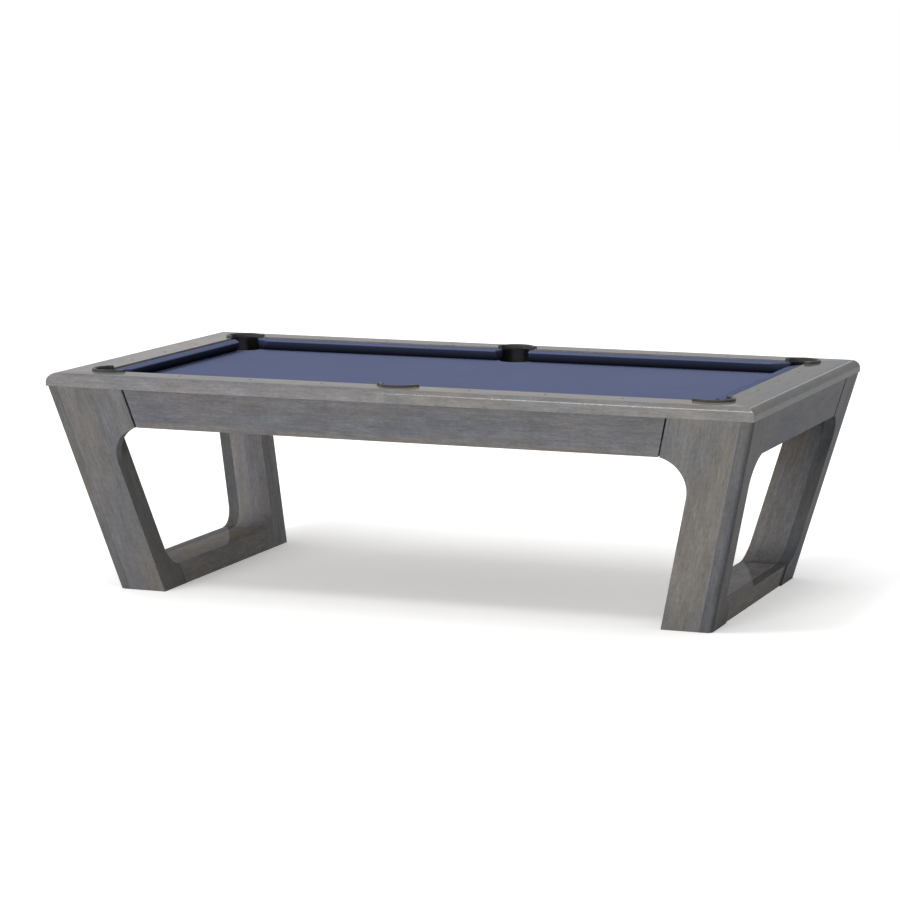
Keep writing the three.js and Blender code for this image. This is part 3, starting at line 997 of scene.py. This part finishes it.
@dataclass
class Pockets:
    """The six pockets: their places, castings and liners."""

    corner_setback: float = 0.026
    side_setback: float = 0.051

    def corner(self) -> Pocket:
        """Describes the corner pocket of the quarter with positive x and y."""
        x, y = SIZES.nose_x + self.corner_setback, SIZES.nose_y + self.corner_setback
        ear_x, ear_y = SIZES.wood_x + Pocket.ear_radius, SIZES.wood_y + Pocket.ear_radius
        middle = Pocket.radius + Pocket.ring / 2
        first = (x - math.sqrt(middle**2 - (ear_y - y) ** 2), ear_y)
        second = (ear_x, y - math.sqrt(middle**2 - (ear_x - x) ** 2))
        return Pocket(x, y, (first, second), corner=True)

    def side(self) -> Pocket:
        """Describes the side pocket with positive y."""
        y = SIZES.nose_y + self.side_setback
        ear_y = SIZES.wood_y + Pocket.ear_radius
        reach = math.sqrt((Pocket.radius + Pocket.ring / 2) ** 2 - (ear_y - y) ** 2)
        return Pocket(0.0, y, ((-reach, ear_y), (reach, ear_y)), corner=False)

    def build(self, shop: Workshop, metal: bpy.types.Material, plastic: bpy.types.Material) -> None:
        """Makes every casting and liner.

        Args:
            shop: Where pieces are finished.
            metal: Finish of the castings.
            plastic: Finish of the liners.
        """
        for side in Side:
            self.place(shop, self.side(), f"side_{{}}_{side.label}", (1, side.value), metal, plastic)
            for end in End:
                name = f"corner_{{}}_{side.label}_{end.label}"
                self.place(shop, self.corner(), name, (end.value, side.value), metal, plastic)

    def place(
        self,
        shop: Workshop,
        pocket: Pocket,
        name: str,
        signs: tuple[int, int],
        metal: bpy.types.Material,
        plastic: bpy.types.Material,
    ) -> None:
        """Makes one pocket's casting and liner.

        Args:
            shop: Where pieces are finished.
            pocket: The pocket, in the quarter with positive x and y.
            name: Name of the node, with a gap for the kind of piece.
            signs: Signs of X and Y where it goes.
            metal: Finish of the casting.
            plastic: Finish of the liner.
        """
        node = name.format("casting")
        shop.finish(pocket.casting().mirrored(*signs), node + "_metal", metal, [node])
        node = name.format("liner")
        shop.finish(pocket.bucket().mirrored(*signs), node + "_plastic", plastic, [node])


@dataclass
class Rails:
    """The hardwood rails, mitred at the corners, with their sights."""

    pockets: Pockets
    edge_radius: float = 0.032
    edge: float = 0.0007
    sight_radius: float = 0.0055
    sight_rise: float = 0.0002
    sight_depth: float = 0.0015
    # Painted light and shade on the end rails' wood: the right one darkened, the left one lightened.
    end_tones: dict[End, float] = field(default_factory=lambda: {End.LEFT: 1.25, End.RIGHT: 0.62})
    diamond: float = 0.2794
    side_sight_y: float = 0.6564
    end_sight_x: float = 1.2152

    def side_rail(self) -> Shape:
        """Makes half a side rail, in the quarter with positive x and y."""
        s = SIZES
        start = s.fit / 2
        outline = [(start, y, z) for y, z in self.section(s.wood_y, s.rail_y)]
        rail = Shape.prism(outline, (s.rail_x - start, 0, 0))
        rail.round_off(rail.edges_at(y=s.rail_y, z=s.rail_top), self.edge_radius, 20)
        rail.trim((s.rail_x - s.rail_y - s.fit / 2, 0, 0), (1, -1, 0))
        rail.combine(Combine.CUT, *self.pockets.corner().rail_waste(), *self.pockets.side().rail_waste())
        return rail.mark_edges(lambda place: place.x < s.fit)

    def end_rail(self) -> Shape:
        """Makes the end rail on the side of positive x."""
        s = SIZES
        outline = [(x, -s.rail_y, z) for x, z in self.section(s.wood_x, s.rail_x)]
        rail = Shape.prism(outline, (0, 2 * s.rail_y, 0))
        rail.round_off(rail.edges_at(x=s.rail_x, z=s.rail_top), self.edge_radius, 20)
        corner = s.rail_x - s.rail_y + s.fit / 2
        for sign in (1, -1):
            rail.trim((corner, 0, 0), (-1, sign, 0))
            rail.combine(Combine.CUT, *(waste.mirrored(1, sign) for waste in self.pockets.corner().rail_waste()))
        return rail.mark_edges()

    def section(self, inner: float, outer: float) -> list[tuple[float, float]]:
        """Corners of a rail's section, before its outer edge is rounded."""
        low, high = SIZES.bed, SIZES.rail_top
        return [(inner, low), (outer, low), (outer, high), (inner, high)]

    def sight(self, x: float, y: float) -> Shape:
        """Makes one sight."""
        top = SIZES.rail_top + self.sight_rise
        dot = Shape.round_bar(x, y, self.sight_radius, SIZES.rail_top - self.sight_depth, top)
        return dot.round_off(dot.edges_at(z=top), self.sight_rise, 2)

    def build(self, shop: Workshop, wood: bpy.types.Material, resin: bpy.types.Material) -> None:
        """Makes every rail and sight.

        Args:
            shop: Where pieces are finished.
            wood: Finish of the rails.
            resin: Finish of the sights.
        """
        side_rail, end_rail = self.side_rail(), self.end_rail()
        for end in End:
            node = f"end_rail_{end.label}"
            board = Board((0, 1, 0), (1, 0, 0), (0, 0, 1), 5 + end.value, tone=self.end_tones[end])
            rail = end_rail.mirrored(end.value, 1)
            shop.finish(rail, node + "_wood", wood, [node], self.edge, board)
            for step in (-1, 0, 1):
                dot = self.sight(end.value * self.end_sight_x, step * self.diamond)
                shop.finish(dot, f"sight_end_{end.label}_{step + 2}", resin)
            for side in Side:
                corner = f"{side.label}_{end.label}"
                node = f"side_rail_{corner}"
                board = Board((1, 0, 0), (0, 1, 0), (0, 0, 1), 9 + 2 * side.value + end.value)
                rail = side_rail.mirrored(end.value, side.value)
                shop.finish(rail, node + "_wood", wood, [node], self.edge, board)
                for step in (1, 2, 3):
                    dot = self.sight(end.value * step * self.diamond, side.value * self.side_sight_y)
                    shop.finish(dot, f"sight_{corner}_{step}", resin)


@dataclass
class Cushions:
    """Rubber cushions under taut cloth, one on each stretch of rail between two pockets."""

    nose_rise: float = 0.0363
    nose_radius: float = 0.0035
    step: float = 0.005
    undercut: float = 0.025
    crown: float = 0.0012
    corner_setback: float = 0.084
    side_half_width: float = 0.068
    corner_degrees: float = 52.0
    side_degrees: float = 14.0
    end_rounding: float = 0.003
    back_rounding: float = 0.008
    fill: float = 1.0

    def section(self, nose: float) -> list[tuple[float, float]]:
        """Corners of a cushion's section, before its nose is rounded.

        Args:
            nose: Distance of the nose from the middle of the table.

        Returns:
            Reach and height of each corner, the nose's last.
        """
        back, base = nose + SIZES.cushion_width - SIZES.fit, SIZES.bed + SIZES.fit
        top = SIZES.rail_top - self.step
        nose_top = SIZES.bed + self.nose_rise + self.nose_radius
        slope = math.atan2(self.undercut, self.nose_rise)
        tip_x = nose + self.nose_radius * (1 - math.cos(slope))
        tip_z = nose_top - self.nose_radius * (1 + math.sin(slope))
        corner = tip_x - (nose_top - tip_z) * (self.undercut - tip_x + nose) / (tip_z - base)
        crown = []
        for share in (0.25, 0.5, 0.75):
            swell = 4 * self.crown * share * (1 - share)
            crown.append((back + (corner - back) * share, top + (nose_top - top) * share + swell))
        return [(nose + self.undercut, base), (back, base), (back, top), *crown, (corner, nose_top)]

    def round_nose(self, shape: Shape, axis: int, nose: tuple[float, float], base: tuple[float, float]) -> None:
        """Rounds the nose and the back edge of a cushion.

        Args:
            shape: The cushion.
            axis: 0 where it faces along the table and 1 where it faces across it.
            nose: Reach and height of the sharp nose.
            base: Reach and height of the foot of the face under it.
        """
        ahead = (nose[0] + 1, nose[1])
        setback = fillet_setback(base, nose, ahead, self.nose_radius)
        at = {"xy"[axis]: nose[0], "z": nose[1]}
        shape.round_off(shape.edges_at(**at), setback, 12)
        back = {"xy"[axis]: base[0] - self.undercut + SIZES.cushion_width - SIZES.fit}
        shape.round_off(shape.edges_at(**back, z=SIZES.rail_top - self.step), self.back_rounding, 8)

    def side_cushion(self) -> Shape:
        """Makes the cushion of a half side, in the quarter with positive x and y."""
        s = SIZES
        section = self.section(s.nose_y)
        cushion = Shape.prism([(0, y, z) for y, z in section], (s.nose_x, 0, 0))
        self.round_nose(cushion, 1, section[-1], section[0])
        corner = (s.nose_x - self.corner_setback, s.nose_y, 0)
        slope = math.tan(math.radians(self.corner_degrees))
        cushion.round_off(self.upper(cushion.trim(corner, (1, -slope, 0))), self.end_rounding, 6)
        slope = math.tan(math.radians(self.side_degrees))
        cut = cushion.trim((self.side_half_width, s.nose_y, 0), (-1, -slope, 0))
        return cushion.round_off(self.upper(cut), self.end_rounding, 6)

    def end_cushion(self) -> Shape:
        """Makes the cushion of the end with positive x."""
        s = SIZES
        section = self.section(s.nose_x)
        cushion = Shape.prism([(x, -s.nose_y, z) for x, z in section], (0, 2 * s.nose_y, 0))
        self.round_nose(cushion, 0, section[-1], section[0])
        slope = math.tan(math.radians(self.corner_degrees))
        for sign in (1, -1):
            corner = (s.nose_x, sign * (s.nose_y - self.corner_setback), 0)
            cushion.round_off(self.upper(cushion.trim(corner, (-slope, sign, 0))), self.end_rounding, 6)
        return cushion

    def upper(self, edges: list) -> list:
        """Picks the edges round a cushion's cut end over which the cloth is drawn."""
        base = SIZES.bed + 0.001
        return [edge for edge in edges if edge.is_valid and max(end.co.z for end in edge.verts) > base and not self.at_back(edge)]

    def at_back(self, edge: bmesh.types.BMEdge) -> bool:
        """Tells whether an edge lies at the back of a cushion, where its top rounds down to the wood."""
        return any(
            all(wood - SIZES.fit - abs(end.co[axis]) < self.back_rounding + 1e-5 for end in edge.verts)
            for axis, wood in enumerate((SIZES.wood_x, SIZES.wood_y))
        )

    def build(self, shop: Workshop, cloth: bpy.types.Material) -> None:
        """Makes every cushion.

        Args:
            shop: Where pieces are finished.
            cloth: Finish of the cushions.
        """
        side_cushion, end_cushion = self.side_cushion(), self.end_cushion()
        for end in End:
            node = f"end_cushion_{end.label}"
            piece = shop.finish(end_cushion.mirrored(end.value, 1), node + "_cloth", cloth, [node])
            for side in Side:
                node = f"side_cushion_{side.label}_{end.label}"
                shape = side_cushion.mirrored(end.value, side.value)
                piece = shop.finish(shape, node + "_cloth", cloth, [node])


@dataclass
class Bed:
    """The cloth stretched over the slates."""

    pockets: Pockets
    margin: float = 0.008
    edge: float = 0.0004

    def build(self, shop: Workshop, cloth: bpy.types.Material) -> None:
        """Makes the bed cloth.

        Args:
            shop: Where pieces are finished.
            cloth: Finish of the cloth.
        """
        s = SIZES
        x, y = s.nose_x + s.slate_reach - self.margin, s.nose_y + s.slate_reach - self.margin
        sheet = Shape.block((-x, -y, s.slate_top), (x, y, s.bed))
        for sign_y in (1, -1):
            for waste in self.pockets.side().slate_waste():
                sheet.combine(Combine.CUT, waste.mirrored(1, sign_y))
            for sign_x in (1, -1):
                for waste in self.pockets.corner().slate_waste():
                    sheet.combine(Combine.CUT, waste.mirrored(sign_x, sign_y))
        sheet.mark_edges()
        area = sum(face.calc_area() for face in sheet.mesh.faces if face.normal.z > 0.9)
        piece = shop.finish(sheet, "bed_cloth_sheet", cloth, ["bed_cloth"], self.edge)


@dataclass
class Base:
    """Leaning legs with their haunches, the aprons between them and the stretchers on the floor."""

    pockets: Pockets
    leg_width: float = 0.184
    leg_depth: float = 0.113
    corner_radius: float = 0.022
    board: float = 0.044
    side_haunch_reach: float = 0.12
    side_haunch_depth: float = 0.04
    end_haunch_reach: float = 0.09
    foot_haunch_reach: float = 0.075
    foot_haunch_radius: float = 0.095
    apron_depth: float = 0.1412
    apron_thickness: float = 0.028
    side_apron_recess: float = 0.002
    end_apron_recess: float = 0.002
    reveal: float = 0.007
    stretcher_height: float = 0.078
    stretcher_recess: float = 0.006
    foot_room: float = 0.028
    foot_room_height: float = 0.012
    stem_room: float = 0.0064
    stem_room_height: float = 0.06
    edge: float = 0.0009
    arc_steps: int = 24
    # Painted shade on the leg boards: a dark band round the rounded corner, between these angles, and a darker outer
    # face.
    stain_start: float = 20.0
    stain_peak: float = 65.0
    stain_stop: float = 85.0
    stain_tone: float = 0.6
    outer_tone: float = 0.85
    apron_tone: float = 0.92
    # Painted shade: both end aprons are darkened, for the shade that falls on the table's right end.
    end_apron_tone: float = 0.7
    foot_tone: float = 0.9
    leg_board_tone: float = 0.78
    # Painted light: the stretcher beams are lightened, the right one most, for the light and reflection on their tops.
    beam_tones: dict[End, float] = field(default_factory=lambda: {End.LEFT: 1.35, End.RIGHT: 1.8})
    # Painted light: each leg post gets its own factor, with the back left one, under the table, lightened most.
    post_tones: dict[tuple[Side, End], float] = field(
        default_factory=lambda: {
            (Side.FRONT, End.LEFT): 0.9,
            (Side.FRONT, End.RIGHT): 1.0,
            (Side.BACK, End.LEFT): 1.45,
            (Side.BACK, End.RIGHT): 1.0,
        }
    )

    @property
    def inner_x(self) -> float:
        """Inner face of the legs along the table, at the height of the bed."""
        return SIZES.base_x - self.leg_width

    @property
    def inner_y(self) -> float:
        """Inner face of the legs across the table, at the height of the bed."""
        return SIZES.base_y - self.leg_depth

    @property
    def split_x(self) -> float:
        """Middle of the joint between post and board."""
        return SIZES.base_x - self.board

    @property
    def apron_bottom(self) -> float:
        """Height of the aprons' lower edge."""
        return SIZES.bed - self.apron_depth

    def at(self, place: float, height: float) -> tuple[float, float]:
        """Reach and height of a point on a leaning face."""
        return SIZES.leaning(place, height), height

    def side_part(self, outer: float) -> Shape:
        """Makes the outer face of a leg, with its haunch under the apron's end.

        Args:
            outer: Where its outer face stands at the height of the bed.

        Returns:
            The face.
        """
        joint = self.inner_x - self.side_haunch_reach
        low, high = self.at(joint, self.apron_bottom), self.at(joint, SIZES.bed)
        corner, foot = self.at(self.inner_x, self.apron_bottom), self.at(self.inner_x, 0)
        outline = [foot, self.at(outer, 0), self.at(outer, SIZES.bed), high]
        outline += haunch_arc(low, corner, foot, self.arc_steps)
        inner = SIZES.base_y - self.side_haunch_depth
        part = Shape.prism([(x, inner, z) for x, z in outline], (0, self.side_haunch_depth, 0))
        return part.lean_out(0, SIZES.lean)

    def end_part(self, inner: float, outer: float, haunched: bool) -> Shape:
        """Makes a leg as the end of the table shows it, with a haunch at the stretcher.

        Args:
            inner: Where it starts along the table, at the height of the bed.
            outer: Where it stops.
            haunched: Whether it has a haunch under the end apron as well.

        Returns:
            The leg, not yet leaning along the table.
        """
        joint, foot_joint = self.inner_y - self.end_haunch_reach, self.inner_y - self.foot_haunch_reach
        top, bottom = self.apron_bottom, self.stretcher_height
        low, corner = self.at(joint, top), self.at(self.inner_y, top)
        low_corner, foot = self.at(self.inner_y, bottom), self.at(foot_joint, bottom)
        outline = [self.at(foot_joint, 0), self.at(SIZES.base_y, 0), self.at(SIZES.base_y, SIZES.bed)]
        if haunched:
            outline += [self.at(joint, SIZES.bed), *haunch_arc(low, corner, low_corner, self.arc_steps)]
        else:
            outline.append(self.at(self.inner_y, SIZES.bed))
        outline += [low_corner, foot]
        part = Shape.prism([(inner, y, z) for y, z in outline], (outer - inner, 0, 0))
        setback = fillet_setback(corner, low_corner, foot, self.foot_haunch_radius)
        return part.round_off(part.edges_at(y=low_corner[0], z=low_corner[1]), setback - 1e-5, self.arc_steps)

    def post(self) -> Shape:
        """Makes a leg post in the quarter with positive x and y."""
        s = SIZES
        inner = self.split_x - s.fit / 2
        leg = self.side_part(inner)
        leg.combine(Combine.JOIN, self.end_part(self.inner_x, inner, False).lean_out(s.lean, 0))
        slate_x, slate_y = s.nose_x + s.slate_reach + s.fit, s.nose_y + s.slate_reach + s.fit
        slate = Shape.block((0, 0, s.slate_bottom), (slate_x, slate_y, s.bed + s.overrun))
        foot_x = s.leaning((self.inner_x + self.split_x) / 2, 0)
        foot_y = s.leaning((self.inner_y + s.base_y) / 2, 0)
        pad = Shape.round_bar(foot_x, foot_y, self.foot_room, -s.overrun, self.foot_room_height)
        stem = Shape.round_bar(foot_x, foot_y, self.stem_room, 0, self.stem_room_height)
        leg.combine(Combine.CUT, slate, self.pockets.corner().liner_room(), pad, stem)
        return leg.mark_edges(self.beside_joint)

    def leg_board(self) -> Shape:
        """Makes the board that faces a leg, in the quarter with positive x and y."""
        board = self.end_part(self.split_x + SIZES.fit / 2, SIZES.base_x, True)
        outer = [
            edge
            for edge in board.edges_at(x=SIZES.base_x)
            if all(abs(end.co.y - SIZES.leaning(SIZES.base_y, end.co.z)) < 1e-6 for end in edge.verts)
        ]
        return board.round_off(outer, self.corner_radius, 12).lean_out(SIZES.lean, 0).mark_edges(self.beside_joint)

    def corner_shade(self, place: Vector) -> float:
        """Paints shade on a leg board: a dark band along its rounded corner, and a darker outer face."""
        drop = SIZES.lean * (place.z - SIZES.bed)
        out_x = abs(place.x) - drop - SIZES.base_x + self.corner_radius
        out_y = abs(place.y) - drop - SIZES.base_y + self.corner_radius
        turn = math.degrees(math.atan2(out_x, out_y))
        if turn < self.stain_start or out_x < 0:
            return 1.0
        if turn > self.stain_stop:
            return self.outer_tone
        if turn < self.stain_peak:
            share = (turn - self.stain_start) / (self.stain_peak - self.stain_start)
            return 1 + share * (self.stain_tone - 1)
        share = (turn - self.stain_peak) / (self.stain_stop - self.stain_peak)
        return self.stain_tone + share * (self.outer_tone - self.stain_tone)

    def beside_joint(self, place: Vector) -> bool:
        """Tells whether a point lies where post and board meet in the leg's outer face."""
        drop = SIZES.lean * (place.z - SIZES.bed)
        return abs(place.x - drop - self.split_x) < SIZES.fit and place.y - drop > SIZES.base_y - SIZES.fit

    def side_apron(self) -> Shape:
        """Makes the apron of the side with positive y."""
        joint = self.inner_x - self.side_haunch_reach
        low = SIZES.leaning(joint, self.apron_bottom) - self.reveal
        high = SIZES.leaning(joint, SIZES.bed) - self.reveal
        outer = SIZES.base_y - self.side_apron_recess
        outline = [(-low, self.apron_bottom), (low, self.apron_bottom), (high, SIZES.bed), (-high, SIZES.bed)]
        apron = Shape.prism([(x, outer - self.apron_thickness, z) for x, z in outline], (0, self.apron_thickness, 0))
        return apron.lean_out(0, SIZES.lean).mark_edges()

    def across_part(self, reach: float, low: float, high: float, start: float, stop: float) -> Shape:
        """Makes a part that runs between the legs of one end.

        Args:
            reach: Where its ends stand at the height of the bed.
            low: Height of its lower edge.
            high: Height of its upper edge.
            start: Where it starts along the table, at the height of the bed.
            stop: Where it stops.

        Returns:
            The part, leaning.
        """
        below, above = SIZES.leaning(reach, low) - SIZES.fit, SIZES.leaning(reach, high) - SIZES.fit
        outline = [(-below, low), (below, low), (above, high), (-above, high)]
        part = Shape.prism([(start, y, z) for y, z in outline], (stop - start, 0, 0))
        return part.lean_out(SIZES.lean, 0).mark_edges()

    def build(self, shop: Workshop, wood: bpy.types.Material) -> None:
        """Makes every piece of the base.

        Args:
            shop: Where pieces are finished.
            wood: Finish of the base.
        """
        s = SIZES
        post, leg_board, side_apron = self.post(), self.leg_board(), self.side_apron()
        outer = s.base_x - self.end_apron_recess
        end_joint = self.inner_y - self.end_haunch_reach
        foot_joint = self.inner_y - self.foot_haunch_reach
        end_apron = self.across_part(end_joint, self.apron_bottom, s.bed, outer - self.apron_thickness, outer)
        split = self.split_x - s.fit / 2
        beam = self.across_part(foot_joint, 0, self.stretcher_height, self.inner_x, split)
        outer = s.base_x - self.stretcher_recess
        board = self.across_part(foot_joint, 0, self.stretcher_height, split + s.fit, outer)
        for side in Side:
            grain = Board((1, 0, 0), (0, 0, 1), (0, 1, 0), 21 + side.value, tone=self.apron_tone)
            self.place(shop, wood, side_apron, f"side_apron_{side.label}", (1, side.value), grain)
        for end in End:
            grain = Board((0, 1, 0), (0, 0, 1), (1, 0, 0), 31 + end.value, tone=self.end_apron_tone)
            lie = Board((0, 1, 0), (0, 0, 1), (1, 0, 0), 31 + end.value, tone=self.foot_tone)
            flat = Board((0, 1, 0), (1, 0, 0), (0, 0, 1), 36 + end.value, tone=self.beam_tones[end])
            self.place(shop, wood, end_apron, f"end_apron_{end.label}", (end.value, 1), grain)
            self.place(shop, wood, beam, f"stretcher_beam_{end.label}", (end.value, 1), flat)
            self.place(shop, wood, board, f"stretcher_board_{end.label}", (end.value, 1), lie)
            for side in Side:
                corner = f"{side.label}_{end.label}"
                signs = (end.value, side.value)
                along, width, depth = (0, 0, 1), (end.value, 0, -s.lean), (0, side.value, -s.lean)
                seed = 43 + 3 * side.value + end.value
                tone = self.post_tones[side, end]
                self.place(shop, wood, post, f"leg_post_{corner}", signs, Board(along, width, depth, seed, s.bed, tone))
                lie = Board(along, depth, width, seed + 10, s.bed, self.leg_board_tone)
                self.place(shop, wood, leg_board, f"leg_board_{corner}", signs, lie, self.corner_shade)

    def place(
        self,
        shop: Workshop,
        wood: bpy.types.Material,
        shape: Shape,
        node: str,
        signs: tuple[int, int],
        board: Board,
        shade: Callable[[Vector], float] | None = None,
    ) -> None:
        """Finishes one wooden piece of the base in its quarter.

        Args:
            shop: Where pieces are finished.
            wood: Its finish.
            shape: Its shape in the quarter with positive x and y, which is kept.
            node: The node that it stands for.
            signs: Signs of X and Y where it goes.
            board: How its grain runs.
            shade: Factor on the wood's colour at a point, for painted shade.
        """
        shop.finish(shape.mirrored(*signs), node + "_wood", wood, [node], self.edge, board, shade)


@dataclass
class HiddenParts:
    """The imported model's own parts that keep their shape: slates, frame and levelling feet."""

    nodes: dict[str, bpy.types.Object]

    def dress(self) -> None:
        """Gives each kind of part its finish."""
        slate = HonedSlate("honed_slate", "4c4f55").material()
        long_timber = BareTimber("long_timber", "c4ad88", "a1875f", (3.0, 90.0, 90.0)).material()
        cross_timber = BareTimber("cross_timber", "c4ad88", "a1875f", (90.0, 3.0, 90.0)).material()
        steel = BrightSteel("bright_steel", "a9abae").material()
        self.give(lambda name: name.startswith("slate"), slate)
        self.give(lambda name: name.startswith("frame_long"), long_timber)
        self.give(lambda name: name.startswith(("frame_cross", "frame_end")), cross_timber)
        self.give(lambda name: name.startswith("levelling_foot"), steel)

    def give(self, test: Callable[[str], bool], material: bpy.types.Material) -> None:
        """Gives a finish to some nodes.

        Args:
            test: Tells by its name whether a node takes the finish.
            material: The finish.
        """
        for name, node in self.nodes.items():
            if test(name):
                node.data.materials.clear()
                node.data.materials.append(material)
                LOG.info("dressed %s", name)


@dataclass(frozen=True)
class Lamp:
    """A broad, distant light: where it stands from the table, how strong it is and how wide it looks."""

    name: str
    where: Point
    strength: float
    spread: float
    mirrored: bool = True

    def hang(self) -> None:
        """Adds the light."""
        data = bpy.data.lights.new(self.name, "SUN")
        data.energy, data.angle = self.strength, math.radians(self.spread)
        lamp = bpy.data.objects.new(self.name, data)
        lamp.location = Vector(self.where) * 5
        lamp.rotation_euler = Vector(self.where).to_track_quat("Z", "Y").to_euler()
        lamp.visible_glossy = self.mirrored
        bpy.context.scene.collection.objects.link(lamp)


@dataclass
class Studio:
    """Pale floor, soft light and the camera."""

    camera_place: Point = (4.1114, -10.9233, 2.2369)
    yaw: float = -20.819
    pitch: float = 8.452
    roll: float = 0.08
    focal_pixels: float = 3170.87
    picture: int = 900
    sensor: float = 36.0
    ambient: float = 0.58
    lights: tuple[Lamp, ...] = (
        Lamp("key", (-0.28, -0.44, 0.85), 0.6, 12.0),
        Lamp("overhead", (-0.1, -0.05, 0.99), 0.85, 60.0, mirrored=False),
        Lamp("front", (-0.2, -0.97, 0.12), 2.1, 20.0, mirrored=False),
        Lamp("window", (-0.11, 0.96, 0.25), 0.012, 6.0),
    )
    floor_size: float = 60.0
    floor_colour: float = 0.95
    floor_lift: float = 0.29

    def camera(self) -> None:
        """Places the camera."""
        data = bpy.data.cameras.new("camera")
        data.sensor_width = self.sensor
        data.lens = self.focal_pixels * self.sensor / self.picture
        data.clip_end = 100
        yaw, pitch, roll = (math.radians(angle) for angle in (self.yaw, self.pitch, self.roll))
        ahead = Vector((math.sin(yaw) * math.cos(pitch), math.cos(yaw) * math.cos(pitch), -math.sin(pitch)))
        right = Vector((math.cos(yaw), -math.sin(yaw), 0))
        above = right.cross(ahead)
        turned_right = right * math.cos(roll) + above * math.sin(roll)
        turned_above = above * math.cos(roll) - right * math.sin(roll)
        eye = bpy.data.objects.new("camera", data)
        axes = Matrix((turned_right, turned_above, -ahead)).transposed().to_4x4()
        eye.matrix_world = Matrix.Translation(self.camera_place) @ axes
        bpy.context.scene.collection.objects.link(eye)
        bpy.context.scene.camera = eye

    def white_for(self, tree: bpy.types.NodeTree) -> Socket:
        """Adds nodes that tell whether the background itself is being looked at or mirrored."""
        paths = tree.nodes.new("ShaderNodeLightPath")
        total = paths.outputs["Is Camera Ray"]
        for name in ("Is Glossy Ray", "Is Transmission Ray"):
            node = tree.nodes.new("ShaderNodeMath")
            node.operation = "MAXIMUM"
            tree.links.new(total, node.inputs[0])
            tree.links.new(paths.outputs[name], node.inputs[1])
            total = node.outputs[0]
        return total

    def sky(self) -> None:
        """Surrounds the table with even white light."""
        world = bpy.data.worlds.new("surroundings")
        world.use_nodes = True
        tree = world.node_tree
        tree.nodes.clear()
        seen, light = tree.nodes.new("ShaderNodeBackground"), tree.nodes.new("ShaderNodeBackground")
        seen.inputs["Color"].default_value = (1, 1, 1, 1)
        light.inputs["Color"].default_value = (1, 1, 1, 1)
        light.inputs["Strength"].default_value = self.ambient
        mix, out = tree.nodes.new("ShaderNodeMixShader"), tree.nodes.new("ShaderNodeOutputWorld")
        tree.links.new(self.white_for(tree), mix.inputs[0])
        tree.links.new(light.outputs[0], mix.inputs[1])
        tree.links.new(seen.outputs[0], mix.inputs[2])
        tree.links.new(mix.outputs[0], out.inputs[0])
        bpy.context.scene.world = world

    def floor(self) -> None:
        """Lays a white floor that keeps the table's shadow."""
        mesh = bmesh.new()
        bmesh.ops.create_grid(mesh, x_segments=1, y_segments=1, size=self.floor_size / 2)
        floor = Shape(mesh).loose_object("floor")
        material = bpy.data.materials.new("pale_floor")
        material.use_nodes = True
        tree = material.node_tree
        tree.nodes.clear()
        lit, lift = tree.nodes.new("ShaderNodeBsdfDiffuse"), tree.nodes.new("ShaderNodeEmission")
        shade = self.floor_colour
        lit.inputs["Color"].default_value = (shade, shade, shade, 1)
        scale = tree.nodes.new("ShaderNodeMath")
        scale.operation = "MULTIPLY"
        tree.links.new(self.white_for(tree), scale.inputs[0])
        scale.inputs[1].default_value = self.floor_lift
        tree.links.new(scale.outputs[0], lift.inputs["Strength"])
        both, out = tree.nodes.new("ShaderNodeAddShader"), tree.nodes.new("ShaderNodeOutputMaterial")
        tree.links.new(lit.outputs[0], both.inputs[0])
        tree.links.new(lift.outputs[0], both.inputs[1])
        tree.links.new(both.outputs[0], out.inputs[0])
        floor.data.materials.append(material)

    def build(self) -> None:
        """Sets everything round the table."""
        bpy.context.scene.view_settings.view_transform = "Standard"
        self.camera()
        for lamp in self.lights:
            lamp.hang()
        self.sky()
        self.floor()


def main() -> None:
    """Builds the table's surfaces and the studio, in order."""
    logging.basicConfig(level=logging.INFO, format="%(message)s")
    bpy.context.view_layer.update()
    Studio().build()
    shop = Workshop()
    pockets = Pockets()
    rail_wood = StainedWood("rail_wood", "6a6e72", "7b756d", "747074", 0.9, 0.085, 0.3, 0.35).material()
    base_wood = StainedWood("base_wood", "5f646b", "7a7369", "6b6a71", 0.82, 0.075, 0.6, 0.15).material()
    bed_cloth = WoolCloth("bed_cloth", "5f6784", 0.92, 0.0).material()
    cushion_cloth = WoolCloth("cushion_cloth", "5d6582", 0.82, 0.85).material()
    casting = DarkCasting("dark_casting", "3b3b3a", 0.42, 0.0).material()
    liner = GlossyPlastic("liner_plastic", "0d0d0c", 0.3, 0.5).material()
    resin = GlossyPlastic("sight_resin", "1c1a19", 0.6, 0.05).material()
    Rails(pockets).build(shop, rail_wood, resin)
    Cushions().build(shop, cushion_cloth)
    Bed(pockets).build(shop, bed_cloth)
    pockets.build(shop, casting, liner)
    Base(pockets).build(shop, base_wood)
    HiddenParts(frame["nodes"]).dress()
    LOG.info("%d new pieces", len(shop.made))


if __name__ == "__main__":
    main()
